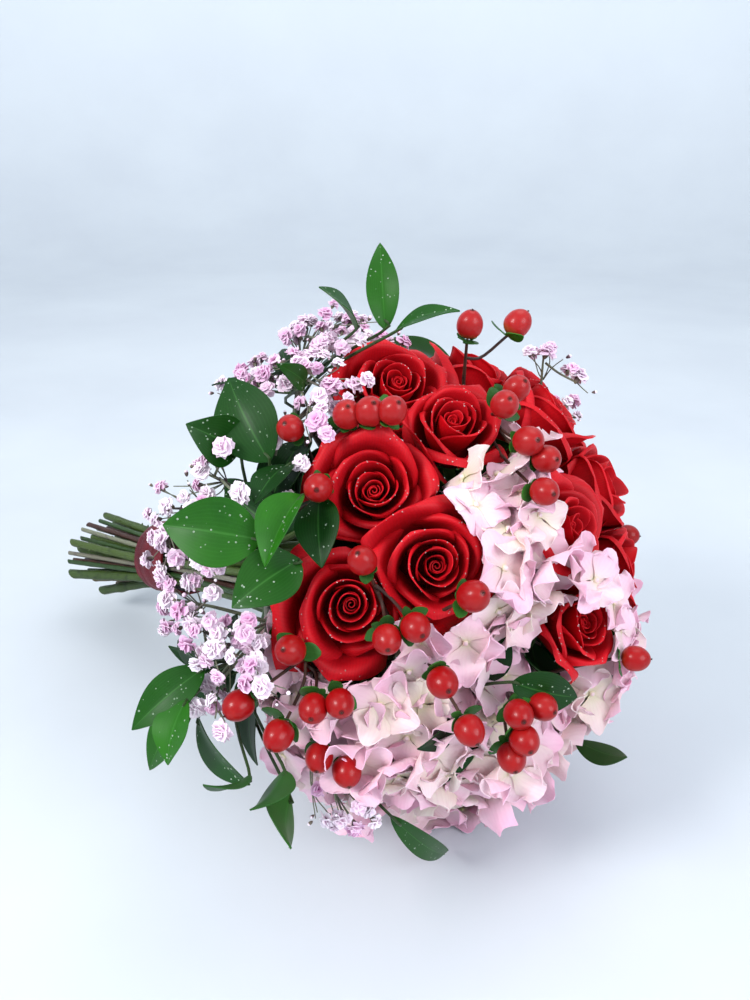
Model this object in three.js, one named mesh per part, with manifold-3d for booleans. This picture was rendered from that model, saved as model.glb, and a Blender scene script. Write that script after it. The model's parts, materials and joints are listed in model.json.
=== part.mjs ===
// A hand-tied bridal bouquet lying on its side: a dome of red roses, pink hydrangea heads, red hypericum
// berries, ruscus leaves and baby's breath, with the stems bound by a satin ribbon.
// Millimetres. +Z is up and z = 0 is the table. +X runs along the bouquet, from the stems to the flowers.
// The origin is the middle of the flat spot that the lowest hydrangea head rests on.
import * as THREE from "three";
import { mergeVertices } from "three/addons/utils/BufferGeometryUtils.js";
import Module from "manifold-3d";

const wasm = await Module();
wasm.setup();

// Driving dimensions
const HEAD_CENTRE = new THREE.Vector3(-22.5, 0, 125);
const AXIS_TILT = 14.8; // degrees that the flowers' end is raised above the stems' end
const ROSE_RADIUS = 26;
const ROSE_SEAT = 106; // a rose's middle, from the middle of the head
const GAP = 0.35;
const TIE_START = 186; // behind the middle of the head, along the stems
const TIE_LENGTH = 34;
const STEM_END = 306;
const STEM_FAN = 1.75; // how far the cut ends spread, against the tie
const RIBBON_THICKNESS = 1.6;
const BERRY_RADIUS = 6.4;
const BERRY_HALF_LENGTH = 7.6;
const BERRY_NECK = 1.8; // from a berry's foot to the top of its twig
const LEAF_THICKNESS = 0.8;

const COLOURS = {
  rose: { color: 0xb3060f, roughness: 0.6 },
  hydrangea: { color: 0xe9bcd8, roughness: 0.75 },
  stem: { color: 0x55702f, roughness: 0.7 },
  leaf: { color: 0x1f5a22, roughness: 0.45 },
  berry: { color: 0xc8141a, roughness: 0.3 },
  breath: { color: 0xeecfe4, roughness: 0.85 },
  ribbon: { color: 0x5a0812, roughness: 0.35 },
};

const group = new THREE.Group();
const deg = THREE.MathUtils.degToRad;

// A seeded random number from 0 to 1
let seed = 20;
function random() {
  seed = (seed * 1664525 + 1013904223) % 4294967296;
  return seed / 4294967296;
}

// The bouquet's own directions: along the stems to the flowers, across, and up square to both
const along = new THREE.Vector3(Math.cos(deg(AXIS_TILT)), 0, Math.sin(deg(AXIS_TILT)));
const across = new THREE.Vector3(0, 1, 0);
const upright = new THREE.Vector3().crossVectors(along, across);

// A direction from the head's middle: lean from the bouquet's axis, and clock round it from the top,
// positive towards +Y
function direction(lean, clock) {
  const l = deg(lean);
  const c = deg(clock);
  return along
    .clone()
    .multiplyScalar(Math.cos(l))
    .addScaledVector(upright, Math.sin(l) * Math.cos(c))
    .addScaledVector(across, Math.sin(l) * Math.sin(c));
}

function place(lean, clock, radius) {
  return HEAD_CENTRE.clone().addScaledVector(direction(lean, clock), radius);
}

// The camera of the reference photograph, for the pieces whose places are read off it in pixels
const CAMERA = { x: 224.8, y: -321.1, z: 347, heading: 129.5, pitch: 23.5 };
const PICTURE = { width: 750, height: 1000, focal: 850 };

function sightLine(u, v) {
  const level = new THREE.Vector3(Math.cos(deg(CAMERA.heading)), Math.sin(deg(CAMERA.heading)), 0);
  const right = new THREE.Vector3(level.y, -level.x, 0);
  const forward = level
    .clone()
    .multiplyScalar(Math.cos(deg(CAMERA.pitch)))
    .setZ(-Math.sin(deg(CAMERA.pitch)));
  const up = new THREE.Vector3().crossVectors(right, forward);
  const ray = forward
    .clone()
    .addScaledVector(right, (u - PICTURE.width / 2) / PICTURE.focal)
    .addScaledVector(up, (PICTURE.height / 2 - v) / PICTURE.focal);
  return new THREE.Ray(new THREE.Vector3(CAMERA.x, CAMERA.y, CAMERA.z), ray.normalize());
}

// Where the photograph's pixel (u, v) meets the ball of that radius round the head's middle,
// or the nearest point to it
function seen(u, v, radius) {
  const line = sightLine(u, v);
  const nearest = line.closestPointToPoint(HEAD_CENTRE, new THREE.Vector3());
  const missed = nearest.distanceTo(HEAD_CENTRE);
  if (missed >= radius) return nearest;
  return nearest.addScaledVector(line.direction, -Math.sqrt(radius ** 2 - missed ** 2));
}

// Where that pixel meets the level z
function seenAtLevel(u, v, z) {
  const line = sightLine(u, v);
  return line.at((z - line.origin.z) / line.direction.z, new THREE.Vector3());
}

// Solids

function solidOf(geometry) {
  geometry.deleteAttribute("normal");
  geometry.deleteAttribute("uv");
  const merged = mergeVertices(geometry, 1e-4);
  const corners = merged.index.array;
  const triangles = [];
  for (let t = 0; t < corners.length; t += 3) {
    const [a, b, c] = corners.slice(t, t + 3);
    if (a !== b && b !== c && c !== a) triangles.push(a, b, c);
  }
  const mesh = new wasm.Mesh({
    numProp: 3,
    vertProperties: new Float32Array(merged.attributes.position.array),
    triVerts: new Uint32Array(triangles),
  });
  return new wasm.Manifold(mesh);
}

function geometryOf(solid) {
  const mesh = solid.getMesh();
  return new THREE.BufferGeometry()
    .setAttribute("position", new THREE.BufferAttribute(new Float32Array(mesh.vertProperties), 3))
    .setIndex(new THREE.BufferAttribute(new Uint32Array(mesh.triVerts), 1));
}

// Keeps the largest body of a solid
function largest(solid) {
  return solid.decompose().reduce((a, b) => (b.volume() > a.volume() ? b : a));
}

function fused(solids) {
  return solids.reduce((a, b) => a.add(b));
}

// A lathed surface whose corners are then set: a first point, rings of points and a last point.
// Rings turn the right-hand way about the line from the first point to the last.
function shell(first, rings, last) {
  const sides = rings[0].length;
  const rows = [Array(sides).fill(first), ...rings, Array(sides).fill(last)];
  const profile = rows.map((_, row) => new THREE.Vector2(row % (rows.length - 1) ? 1 : 0, row));
  const lathe = new THREE.LatheGeometry(profile, sides);
  for (let k = 0; k <= sides; k++) {
    rows.forEach((ring, row) => {
      lathe.attributes.position.setXYZ(k * rows.length + row, ...ring[k % sides].toArray());
    });
  }
  return lathe;
}

// The turn that takes +Z to a direction
function turnTo(axis, spin = 0) {
  const up = new THREE.Vector3(0, 0, 1);
  const turn = new THREE.Quaternion().setFromUnitVectors(up, axis.clone().normalize());
  return turn.multiply(new THREE.Quaternion().setFromAxisAngle(up, spin));
}

function posed(geometry, position, axis, spin = 0) {
  return geometry.applyMatrix4(
    new THREE.Matrix4().compose(position, turnTo(axis, spin), new THREE.Vector3(1, 1, 1)),
  );
}

// A round rod through points, with a radius at each
function rod(points, radii, sides) {
  const frame = turnTo(points[1].clone().sub(points[0]));
  const side = new THREE.Vector3(1, 0, 0).applyQuaternion(frame);
  const rings = points.map((point, i) => {
    const before = points[Math.max(i - 1, 0)];
    const after = points[Math.min(i + 1, points.length - 1)];
    const tangent = after.clone().sub(before).normalize();
    side.addScaledVector(tangent, -side.dot(tangent)).normalize();
    const other = new THREE.Vector3().crossVectors(tangent, side);
    return Array.from({ length: sides }, (_, k) => {
      const turn = (2 * Math.PI * k) / sides;
      return point
        .clone()
        .addScaledVector(side, radii[i] * Math.cos(turn))
        .addScaledVector(other, radii[i] * Math.sin(turn));
    });
  });
  return shell(points[0], rings, points[points.length - 1]);
}

function ball(radius, halfLength, around, rows) {
  return new THREE.SphereGeometry(1, around, rows).rotateX(Math.PI / 2).scale(radius, radius, halfLength);
}

// A flat star over a point: a calyx of five sepals
function star(outer, inner, depth, height, grow) {
  const ring = Array.from({ length: 10 }, (_, k) => {
    const turn = (Math.PI * k) / 5;
    const r = (k % 2 ? inner : outer) + 2 * grow;
    return new THREE.Vector3(r * Math.cos(turn), r * Math.sin(turn), (k % 2 ? 0 : height) + grow);
  });
  return shell(new THREE.Vector3(0, 0, -depth - 2 * grow), [ring], new THREE.Vector3(0, 0, 0.6 + grow));
}

// A part of a node: its own solid, and the room that other pieces leave it, a gap larger all round
function part(make) {
  return { solid: solidOf(make(0)), room: solidOf(make(GAP)) };
}

function meets(a, b) {
  return a.intersect(b).volume() > 1e-6;
}

// Takes the rooms of other parts from a solid
function clearOf(solid, parts) {
  return parts.reduce((left, { room }) => (meets(left, room) ? left.subtract(room) : left), solid);
}

// Roses: rings of petals in one lathed surface, each ring lobed and wound like a pinwheel

const ROSES = [
  { lean: 78, clock: -6, size: 1.06 },
  { lean: 71, clock: 21, size: 1.02 },
  { lean: 52, clock: -9, size: 0.94 },
  { lean: 64, clock: -38, size: 1.06 },
  { lean: 45, clock: -58, size: 1.06 },
  { lean: 66, clock: -75, size: 1.08 },
  { lean: 52, clock: 33, size: 1.1 },
  { lean: 36, clock: 60, size: 1.02 },
  { lean: 19, clock: -6, size: 0.92 },
  { lean: 9, clock: -150, size: 0.86 },
  { lean: 53, clock: 71, size: 1.06 },
  { lean: 27, clock: 97, size: 1.0 },
  { lean: 77, clock: 48, size: 1.04 },
  { lean: 76, clock: 77, size: 1.02 },
  { lean: 57, clock: 100, size: 1.04 },
  { lean: 84, clock: 103, size: 1.04 },
];

// Each row is radius, height, petals in the ring, lobe height and pinwheel step
const ROSE_ROWS = [
  [17, -15, 0, 0, 0],
  [26, 5, 5, 5, 1.8],
  [20.5, -2, 0, 0, 0],
  [20.5, 12, 5, 4, 1.6],
  [15, 4, 0, 0, 0],
  [12.5, 16, 3, 3, 1.4],
];
const ROSE_BASE = 22;
const ROSE_HEART = 8;
const ROSE_SIDES = 15;
// The smooth outside of a rose, that hydrangea florets keep clear of
const ROSE_OUTSIDE = [
  [18.5, -16],
  [29.4, 3],
  [26, 12],
  [16, 19],
];

function ringOf(radius, height, sides, turned = 0) {
  return Array.from({ length: sides }, (_, k) => {
    const turn = (2 * Math.PI * (k + turned)) / sides;
    return new THREE.Vector3(radius * Math.cos(turn), radius * Math.sin(turn), height);
  });
}

function roseBloom(size) {
  const rings = ROSE_ROWS.map(([radius, height, petals, lobe, step], row) =>
    ringOf(1, 0, ROSE_SIDES).map((corner, k) => {
      const share = ((k + row) * petals) / ROSE_SIDES;
      const within = share - Math.floor(share);
      const r = radius + step * (2 * within - 0.67);
      const z = height + lobe * (Math.sin(Math.PI * (within + 0.17)) - 1);
      return corner.multiplyScalar(r * size).setZ(z * size);
    }),
  );
  const base = new THREE.Vector3(0, 0, -ROSE_BASE * size);
  return shell(base, rings, new THREE.Vector3(0, 0, ROSE_HEART * size));
}

function roseRoom(size) {
  const rings = ROSE_OUTSIDE.map(([radius, height]) => ringOf(radius * size, height * size, 12));
  return shell(new THREE.Vector3(0, 0, -23 * size), rings, new THREE.Vector3(0, 0, 20 * size));
}

const roses = ROSES.map((rose, i) => {
  const outward = direction(rose.lean, rose.clock);
  const centre = place(rose.lean, rose.clock, ROSE_SEAT);
  return {
    ...rose,
    outward,
    centre,
    radius: ROSE_RADIUS * rose.size,
    solid: solidOf(posed(roseBloom(rose.size), centre, outward, i * 1.3)),
    room: solidOf(posed(roseRoom(rose.size), centre, outward)),
    base: ROSE_SEAT - ROSE_BASE * rose.size,
  };
});

// Cuts by the plane midway between two round pieces that would reach into each other
function separate(pieces) {
  pieces.forEach((a, i) =>
    pieces.slice(i + 1).forEach((b) => {
      const between = b.centre.clone().sub(a.centre);
      const distance = between.length();
      if (!meets(a.solid, b.solid)) return;
      between.normalize();
      const middle = (distance ** 2 + a.radius ** 2 - b.radius ** 2) / (2 * distance);
      const level = a.centre.dot(between) + middle;
      a.solid = a.solid.trimByPlane(between.clone().negate().toArray(), -(level - GAP / 2));
      b.solid = b.solid.trimByPlane(between.toArray(), level + GAP / 2);
    }),
  );
}

separate(roses);

// Hydrangea heads: a core with four-sepalled florets standing out of its outer side. The resting one lies
// on the table, with a floret pressed flat under the origin.

const HYDRANGEAS = [
  { lean: 30, clock: -46, out: 84, long: 66, broad: 38, deep: 41, towards: [36, 22], florets: 19 },
  { lean: 62, clock: -108, out: 80, long: 52, broad: 44, deep: 44, towards: [75, -75], florets: 18 },
  { lean: 47, clock: -152, out: 78, long: 48, broad: 44, deep: 46, towards: [47, -100], florets: 13 },
  { lean: 33, clock: 142, out: 82, long: 50, broad: 40, deep: 42, towards: [40, 100], florets: 13 },
  { lean: 76, clock: 138, out: 78, long: 50, broad: 44, deep: 46, towards: [76, 100], florets: 10 },
  { lean: 88, clock: 180, out: 78, long: 54, broad: 54, deep: 58, towards: [88, 140], florets: 17 },
];
HYDRANGEAS[5].resting = true;
const CORE = 0.81; // the core's size against the head's
const HEAD_BASE = 62; // the flat underside of a head, from the bouquet's middle
const PRESSED = 5; // a floret lower than this is pressed flat to the table
const PRESSED_LEVEL = -1.2; // where the middle of such a floret is, before it is cut level
const DOWN = new THREE.Vector3(0, 0, -1);
const FLORET_RADIUS = 17;
const FLORET_NOTCH = 0.5;
const FLORET_ROOT = 15;

// One floret: four sepals as an eight-cornered plate, dished, drawn down to its stalk
function floret(size) {
  const r = FLORET_RADIUS * size;
  const tips = ringOf(r, 1.5, 4);
  const notches = ringOf(r * FLORET_NOTCH, -1.5, 4, 0.5);
  const ring = tips.flatMap((tip, i) => [tip, notches[i]]);
  return shell(new THREE.Vector3(0, 0, -FLORET_ROOT), [ring], new THREE.Vector3(0, 0, -0.5));
}

// Whether a floret's place is taken by a rose or belongs to the next head
function crowdedOut(spot, head) {
  const underRose = roses.some((rose) => spot.distanceTo(rose.centre) < rose.radius);
  const own = spot.distanceToSquared(head.centre) - head.radius ** 2;
  const nearer = HYDRANGEAS.some((other) => {
    const centre = place(other.lean, other.clock, other.out);
    return spot.distanceToSquared(centre) - headRadius(other) ** 2 < own - 400;
  });
  return underRose || nearer;
}

function headRadius({ long, broad }) {
  return (long + broad) / 2 + 2;
}

function hydrangeaSolid(head) {
  const core = ball(CORE, CORE, 8, 5).scale(head.long, head.broad, head.deep);
  const pieces = [solidOf(core.applyMatrix4(head.frame))];
  const golden = Math.PI * (3 - Math.sqrt(5));
  const size = new THREE.Vector3(head.long, head.broad, head.deep);
  for (let i = 0; i < head.florets; i++) {
    const rise = 1 - (1.25 * i) / head.florets;
    const round = Math.sqrt(1 - rise ** 2);
    const unit = new THREE.Vector3(round * Math.cos(golden * i), round * Math.sin(golden * i), rise);
    const normal = unit.clone().divide(size).normalize();
    normal.add(new THREE.Vector3(random() - 0.5, random() - 0.5, random() - 0.5).multiplyScalar(0.3));
    normal.transformDirection(head.frame);
    const spot = unit.multiply(size).multiplyScalar(0.97 + 0.06 * random()).applyMatrix4(head.frame);
    if (spot.z < PRESSED) {
      spot.setZ(PRESSED_LEVEL);
      normal.copy(DOWN);
    }
    const flower = posed(floret(0.9 + 0.2 * random()), spot, normal, random() * 6.28);
    if (!crowdedOut(spot, head)) pieces.push(solidOf(flower));
  }
  if (head.resting) {
    pieces.push(solidOf(posed(floret(1), new THREE.Vector3(0, 0, PRESSED_LEVEL), DOWN)));
  }
  return fused(pieces).trimByPlane(head.outward.toArray(), HEAD_CENTRE.dot(head.outward) + HEAD_BASE);
}

const heads = HYDRANGEAS.map((head) => {
  const outward = direction(head.lean, head.clock);
  const centre = place(head.lean, head.clock, head.out);
  const long = direction(...head.towards);
  long.addScaledVector(outward, -long.dot(outward)).normalize();
  const broad = new THREE.Vector3().crossVectors(outward, long);
  const frame = new THREE.Matrix4().makeBasis(long, broad, outward).setPosition(centre);
  const whole = { ...head, outward, centre, frame, radius: headRadius(head) };
  return { ...whole, solid: hydrangeaSolid(whole), base: HEAD_BASE };
});
separate(heads);

// Hypericum: red berries over small sepals. Each spray forks into clusters of berries on short twigs.

const HYPERICUM = [
  {
    node: place(84, -28, 110),
    clusters: [
      [seen(290, 428, 136), seen(318, 488, 134)],
      [seen(347, 414, 136), seen(370, 411, 138), seen(393, 410, 140)],
    ],
  },
  {
    node: place(60, 7, 110),
    clusters: [
      [seen(470, 324, 146), seen(518, 323, 150)],
      [
        seen(517, 388, 136),
        seen(505, 404, 138),
        seen(529, 441, 136),
        seen(547, 459, 134),
        seen(543, 493, 136),
      ],
    ],
  },
  {
    node: place(72, -92, 108),
    clusters: [
      [
        seen(290, 650, 134),
        seen(238, 706, 140),
        seen(278, 736, 140),
        seen(313, 709, 138),
        seen(340, 704, 136),
      ],
      [seen(319, 758, 134), seen(347, 772, 133)],
    ],
  },
  {
    node: place(50, -84, 108),
    clusters: [
      [seen(362, 560, 136), seen(416, 628, 135), seen(387, 640, 135)],
      [seen(474, 596, 137)],
      [seen(443, 683, 134), seen(470, 731, 137)],
    ],
  },
  {
    node: place(30, -125, 108),
    clusters: [
      [seen(519, 715, 134), seen(543, 707, 132), seen(525, 741, 138), seen(512, 758, 136)],
      [place(13, 176, 133)],
    ],
  },
  {
    node: place(65, 88, 108),
    clusters: [[place(63, 88, 134), place(44, 85, 136)], [place(82, 90, 134)]],
  },
];
const TWIG_PARTING = 8; // how far behind the first piece of a cluster the next twig parts from its twig

// Where the twigs of a cluster part from the twig of its first piece, one after another
function partings(from, first, count) {
  const length = first.distanceTo(from);
  return Array.from({ length: count }, (_, i) =>
    i === 0 ? from : first.clone().lerp(from, Math.min((TWIG_PARTING + 3 * (i - 1)) / length, 0.96)),
  );
}

// A berry with its sepals and twig as one body: the twig's foot and top, the sepals' points and
// notches, and the berry's rings
function berry(spot, foot, twigRadius, grow) {
  const r = BERRY_RADIUS + grow;
  const h = BERRY_HALF_LENGTH + grow;
  const axis = berryAxis(spot, foot);
  const inPlace = (ring) => ring.map((corner) => corner.applyQuaternion(turnTo(axis)).add(spot));
  const sepals = ringOf(1, 0, 6).map((corner, k) => {
    const reach = k % 2 ? 2.6 + grow : 6.9 + grow;
    return corner.multiplyScalar(reach).setZ(-h * (k % 2 ? 0.95 : 0.58));
  });
  const neck = BERRY_HALF_LENGTH + BERRY_NECK;
  const twigTop = inPlace(ringOf(twigRadius + grow, -neck, 6));
  const twig = foot.clone().sub(spot).addScaledVector(axis, neck);
  const rings = [
    twigTop.map((corner) => corner.clone().add(twig)),
    twigTop,
    inPlace(sepals),
    inPlace(ringOf(r, -0.12 * h, 6)),
    inPlace(ringOf(r * 0.66, h * 0.68, 6)),
  ];
  return shell(foot.clone(), rings, spot.clone().addScaledVector(axis, h));
}

function berryAxis(spot, foot) {
  const outward = spot.clone().sub(HEAD_CENTRE).normalize();
  return spot.clone().sub(foot).normalize().add(outward).normalize();
}

function berryCluster(cluster, from) {
  const spots = cluster.map(lifted);
  const neck = spots[0].clone().addScaledVector(berryAxis(spots[0], from), -BERRY_HALF_LENGTH - BERRY_NECK);
  const feet = partings(from, neck, cluster.length);
  return spots.map((spot, i) => part((grow) => berry(spot, feet[i], i ? 0.75 : 1.2, grow)));
}

// Lifts a berry off the flowers under it
function lifted(spot) {
  const outward = spot.clone().sub(HEAD_CENTRE).normalize();
  const free = spot.clone();
  for (let step = 0; step < 8; step++) {
    const room = ball(BERRY_RADIUS + GAP, BERRY_HALF_LENGTH + GAP, 6, 4).translate(...free.toArray());
    const blocked = solidOf(room);
    if (![...roses, ...heads].some(({ solid }) => meets(solid, blocked))) return free;
    free.addScaledVector(outward, 1.5);
  }
  return free;
}

// Ruscus: pointed leaves on short stalks from a branching point. Each is given by its base and its tip.

const RUSCUS = [
  {
    node: place(99, -14, 114),
    leaves: [
      { base: seen(385, 330, 142), tip: seen(380, 243, 175), width: 17 },
      { base: seen(356, 330, 142), tip: seen(319, 287, 165), width: 24 },
      { base: seen(395, 332, 146), tip: seen(460, 311, 160), width: 16 },
      { base: seen(305, 385, 135), tip: seen(277, 364, 160), width: 16 },
    ],
  },
  {
    node: place(86, -54, 100),
    leaves: [
      { base: seen(270, 462, 128), tip: seen(229, 378, 150), width: 33 },
      { base: seen(240, 450, 130), tip: seen(186, 424, 160), width: 26 },
      { base: seen(262, 540, 140), tip: seen(163, 525, 160), width: 37 },
      { base: seen(302, 495, 132), tip: seen(265, 567, 145), width: 24 },
      { base: seen(300, 560, 132), tip: seen(232, 608, 150), width: 28 },
      { base: seen(290, 465, 124), tip: seen(255, 505, 140), width: 20 },
    ],
  },
  {
    node: place(95, -92, 102),
    leaves: [
      { base: seen(215, 668, 125), tip: seen(178, 640, 140), width: 18 },
      { base: seen(205, 668, 135), tip: seen(132, 730, 165), width: 21 },
      { base: seen(195, 695, 135), tip: seen(150, 770, 160), width: 21 },
      { base: seen(187, 700, 148), tip: seen(168, 765, 165), width: 24 },
      { base: seen(198, 718, 140), tip: seen(250, 785, 150), width: 24 },
      { base: seen(250, 775, 150), tip: seen(203, 785, 170), width: 16 },
      { base: seen(285, 770, 140), tip: seen(250, 810, 165), width: 22 },
      { base: seen(290, 795, 140), tip: seen(291, 848, 165), width: 25 },
      { base: seen(390, 815, 135), tip: seenAtLevel(447, 850, 3), width: 20 },
    ],
  },
  {
    node: place(37, -120, 98),
    leaves: [
      { base: seen(520, 690, 134), tip: seen(568, 698, 144), width: 14 },
      { base: seen(590, 750, 132), tip: seen(625, 757, 150), width: 18 },
    ],
  },
  {
    node: place(100, 84, 104),
    leaves: [
      { base: place(90, 70, 132), tip: place(108, 62, 160), width: 30 },
      { base: place(94, 95, 132), tip: place(112, 104, 158), width: 32 },
      { base: place(92, 44, 132), tip: place(112, 36, 158), width: 26 },
    ],
  },
];
const LEAF_ROWS = [
  [0.22, 0.78],
  [0.5, 1],
  [0.78, 0.6],
];
const SMALL_LEAF_ROWS = [
  [0.3, 0.95],
  [0.68, 0.8],
];
const SMALL_LEAF = 21; // the width under which a leaf has fewer rows of corners

const STALK = 0.7;

// A leaf with its stalk as one body: it starts at the branching point, and the blade's corners go
// round from one edge, under the midrib, to the other edge and back over the top
function leaf({ base, tip, width }, node, grow) {
  const length = tip.distanceTo(base);
  const forward = tip.clone().sub(base).normalize();
  const outward = base.clone().add(tip).multiplyScalar(0.5).sub(HEAD_CENTRE).normalize();
  const side = new THREE.Vector3().crossVectors(outward, forward).normalize();
  const face = new THREE.Vector3().crossVectors(forward, side);
  const thick = LEAF_THICKNESS / 2 + grow;
  const row = (middle, half, fold, rise) =>
    [
      [-half, fold - rise],
      [0, -rise],
      [half, fold - rise],
      [half, fold + rise],
      [0, rise],
      [-half, fold + rise],
    ].map(([x, lift]) => middle.clone().addScaledVector(side, x).addScaledVector(face, lift));
  const stalk = STALK + grow;
  const blade = (width < SMALL_LEAF ? SMALL_LEAF_ROWS : LEAF_ROWS).map(([share, breadth]) => {
    const arch = length * 0.36 * share * (1 - share);
    const middle = base.clone().addScaledVector(forward, length * share).addScaledVector(face, arch);
    return row(middle, (width / 2) * breadth + grow, width * 0.1, thick);
  });
  const rings = [row(node, stalk, 0, stalk), row(base, stalk, 0, stalk * 0.8), ...blade];
  return shell(node, rings, tip.clone().addScaledVector(forward, 2 * grow));
}

function ruscusLeaf(each, from) {
  return [part((grow) => leaf(each, from, grow))];
}

// Baby's breath: small double flowers on thread-like twigs, in clusters

const BREATH = [
  {
    node: place(98, -22, 104),
    clusters: [
      [seen(305, 320, 142), seen(330, 338, 138), seen(350, 318, 140)],
      [seen(298, 362, 138), seen(330, 384, 137), seen(316, 420, 138)],
    ],
  },
  {
    node: place(92, -46, 98),
    clusters: [
      [seen(240, 370, 138), seen(262, 372, 138)],
      [seen(200, 470, 138), seen(228, 452, 140), seen(245, 497, 140)],
      [seen(165, 506, 142), seen(160, 543, 142), seen(200, 558, 140)],
    ],
  },
  {
    node: place(88, -80, 98),
    clusters: [
      [seen(165, 600, 140), seen(190, 625, 140), seen(212, 648, 142)],
      [seen(255, 665, 138), seen(266, 682, 138)],
      [seen(200, 705, 142), seen(232, 722, 142)],
      [seen(300, 800, 140), seen(340, 820, 138)],
    ],
  },
  {
    node: place(61, 50, 110),
    clusters: [
      [seen(520, 345, 142), seen(548, 350, 142), seen(580, 375, 142)],
      [place(66, 58, 142), place(72, 64, 142)],
    ],
  },
];
const BREATH_RADIUS = 5;

// Parts for one cluster. A flower that something else is in the way of is lifted until it is free.
function breathCluster(cluster, from, placed) {
  const spots = [];
  const blooms = [];
  for (const spot of cluster) {
    const outward = spot.clone().sub(HEAD_CENTRE).normalize();
    for (let attempt = 0; attempt < 12; attempt++) {
      const at = spot.clone().addScaledVector(outward, attempt * 1.5);
      const bloom = part((grow) => posed(new THREE.IcosahedronGeometry(BREATH_RADIUS + grow), at, outward));
      if ([...placed, ...blooms].some(({ room }) => meets(room, bloom.solid))) continue;
      blooms.push(bloom);
      spots.push(at);
      break;
    }
  }
  const feet = partings(from, spots[0], spots.length);
  const twigs = spots.map((spot, i) =>
    part((grow) => rod([feet[i], spot], [(i ? 0.6 : 1.2) + grow, (i ? 0.6 : 0.9) + grow], i ? 3 : 4)),
  );
  return [...twigs, ...blooms];
}

// Stems: each runs from its flower into the tie and fans out to its cut end

const STEM_RADII = { rose: 2.75, hydrangea: 3.5, hypericum: 1.9, ruscus: 1.7, breath: 1.6 };
const NECK = 60; // how far behind the head's middle the stems are first gathered
const FOCUS = 262; // where the stems would all meet, behind the head's middle
const STEM_GAP = 0.65;
const TWIST = 22; // degrees that the stems spiral from the tie to their cut ends
const INSIDE = 56; // how deep in the head the stems' spread is measured
const BEND = 80; // where a spray's stem turns out between the flowers

// Moves discs apart until each pair is clear, drawing them to the middle as it goes
function spread(spots, radii, pull) {
  const moved = spots.map((spot) => spot.clone());
  for (let round = 0; round < 900; round++) {
    const draw = pull * (1 - round / 900);
    moved.forEach((spot) => spot.multiplyScalar(1 - draw));
    for (let i = 0; i < moved.length; i++) {
      for (let j = i + 1; j < moved.length; j++) {
        const gap = moved[j].clone().sub(moved[i]);
        const short = radii[i] + radii[j] + STEM_GAP - gap.length();
        if (short <= 0) continue;
        gap.setLength(short / 2);
        moved[i].sub(gap);
        moved[j].add(gap);
      }
    }
  }
  return moved;
}

function inPlane(spot, behind) {
  return HEAD_CENTRE.clone()
    .addScaledVector(along, -behind)
    .addScaledVector(upright, spot.x)
    .addScaledVector(across, spot.y);
}

const stems = [
  ...roses.map((rose) => ({ kind: "rose", outward: rose.outward, from: rose.base - 9 })),
  ...heads.map((head) => ({ kind: "hydrangea", outward: head.outward, from: HEAD_BASE - GAP })),
  ...HYPERICUM.map(({ node }) => sprayStem("hypericum", node)),
  ...RUSCUS.map(({ node }) => sprayStem("ruscus", node)),
  ...BREATH.map(({ node }) => sprayStem("breath", node)),
];

function sprayStem(kind, node) {
  const outward = node.clone().sub(HEAD_CENTRE);
  return { kind, from: outward.length(), outward: outward.normalize() };
}

const radii = stems.map(({ kind }) => STEM_RADII[kind]);
const seenFromFocus = stems.map(({ outward }) => {
  const scale = (INSIDE * (FOCUS - NECK)) / (FOCUS + INSIDE * outward.dot(along));
  return new THREE.Vector2(outward.dot(upright) * scale, outward.dot(across) * scale);
});
const neckSpots = spread(seenFromFocus, radii, 0);
const tieSpots = spread(
  neckSpots.map((spot) => spot.clone().multiplyScalar((FOCUS - TIE_START) / (FOCUS - NECK))),
  radii,
  0.02,
);
const endSpots = tieSpots.map((spot) =>
  spot.clone().multiplyScalar(STEM_FAN).rotateAround(new THREE.Vector2(), deg(TWIST)),
);
const tieRadius = Math.max(...tieSpots.map((spot, i) => spot.length() + radii[i]));

function stemPath({ kind, outward, from }, i) {
  const tie = [inPlane(tieSpots[i], TIE_START), inPlane(tieSpots[i], TIE_START + TIE_LENGTH)];
  const end = inPlane(endSpots[i], STEM_END).lerp(tie[1], 0.12 * random());
  const start = HEAD_CENTRE.clone().addScaledVector(outward, from);
  const straight = kind === "rose" || kind === "hydrangea" || outward.dot(along) < 0.1;
  const bends = straight ? [] : [HEAD_CENTRE.clone().addScaledVector(outward, BEND)];
  return [start, ...bends, inPlane(neckSpots[i], NECK), ...tie, end];
}

stems.forEach((stem, i) => {
  const path = stemPath(stem, i);
  const sides = stem.kind === "rose" || stem.kind === "hydrangea" ? 5 : 4;
  stem.path = path;
  stem.parts = [part((grow) => rod(path, path.map(() => radii[i] + grow), sides))];
});

// The calyx under each rose is one body with its stem
roses.forEach((rose, i) => {
  const seat = rose.centre.clone().addScaledVector(rose.outward, -ROSE_BASE * rose.size - GAP - 0.6);
  stems[i].parts.push(part((grow) => posed(star(14, 5, 11, 2.4, grow), seat, rose.outward, i)));
});

// Sprays, highest in the bouquet first, each clear of those before it

const placed = [];
const sprays = [];

// Builds a spray: its pieces branch off the top of its stem, one a little way down from the other
function spray(name, look, stem, pieces, partsOf) {
  const [top, next] = stem.path;
  const down = next.clone().sub(top).normalize();
  const parts = pieces.flatMap((piece, i) => partsOf(piece, top.clone().addScaledVector(down, 1.5 + 3 * i)));
  const all = [...stem.parts, ...parts];
  const solid = clearOf(fused(all.map((each) => each.solid)), placed);
  placed.push(...all);
  sprays.push({ name, look, solid, at: top });
}

function stemsOf(kind) {
  return stems.filter((stem) => stem.kind === kind);
}

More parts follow.
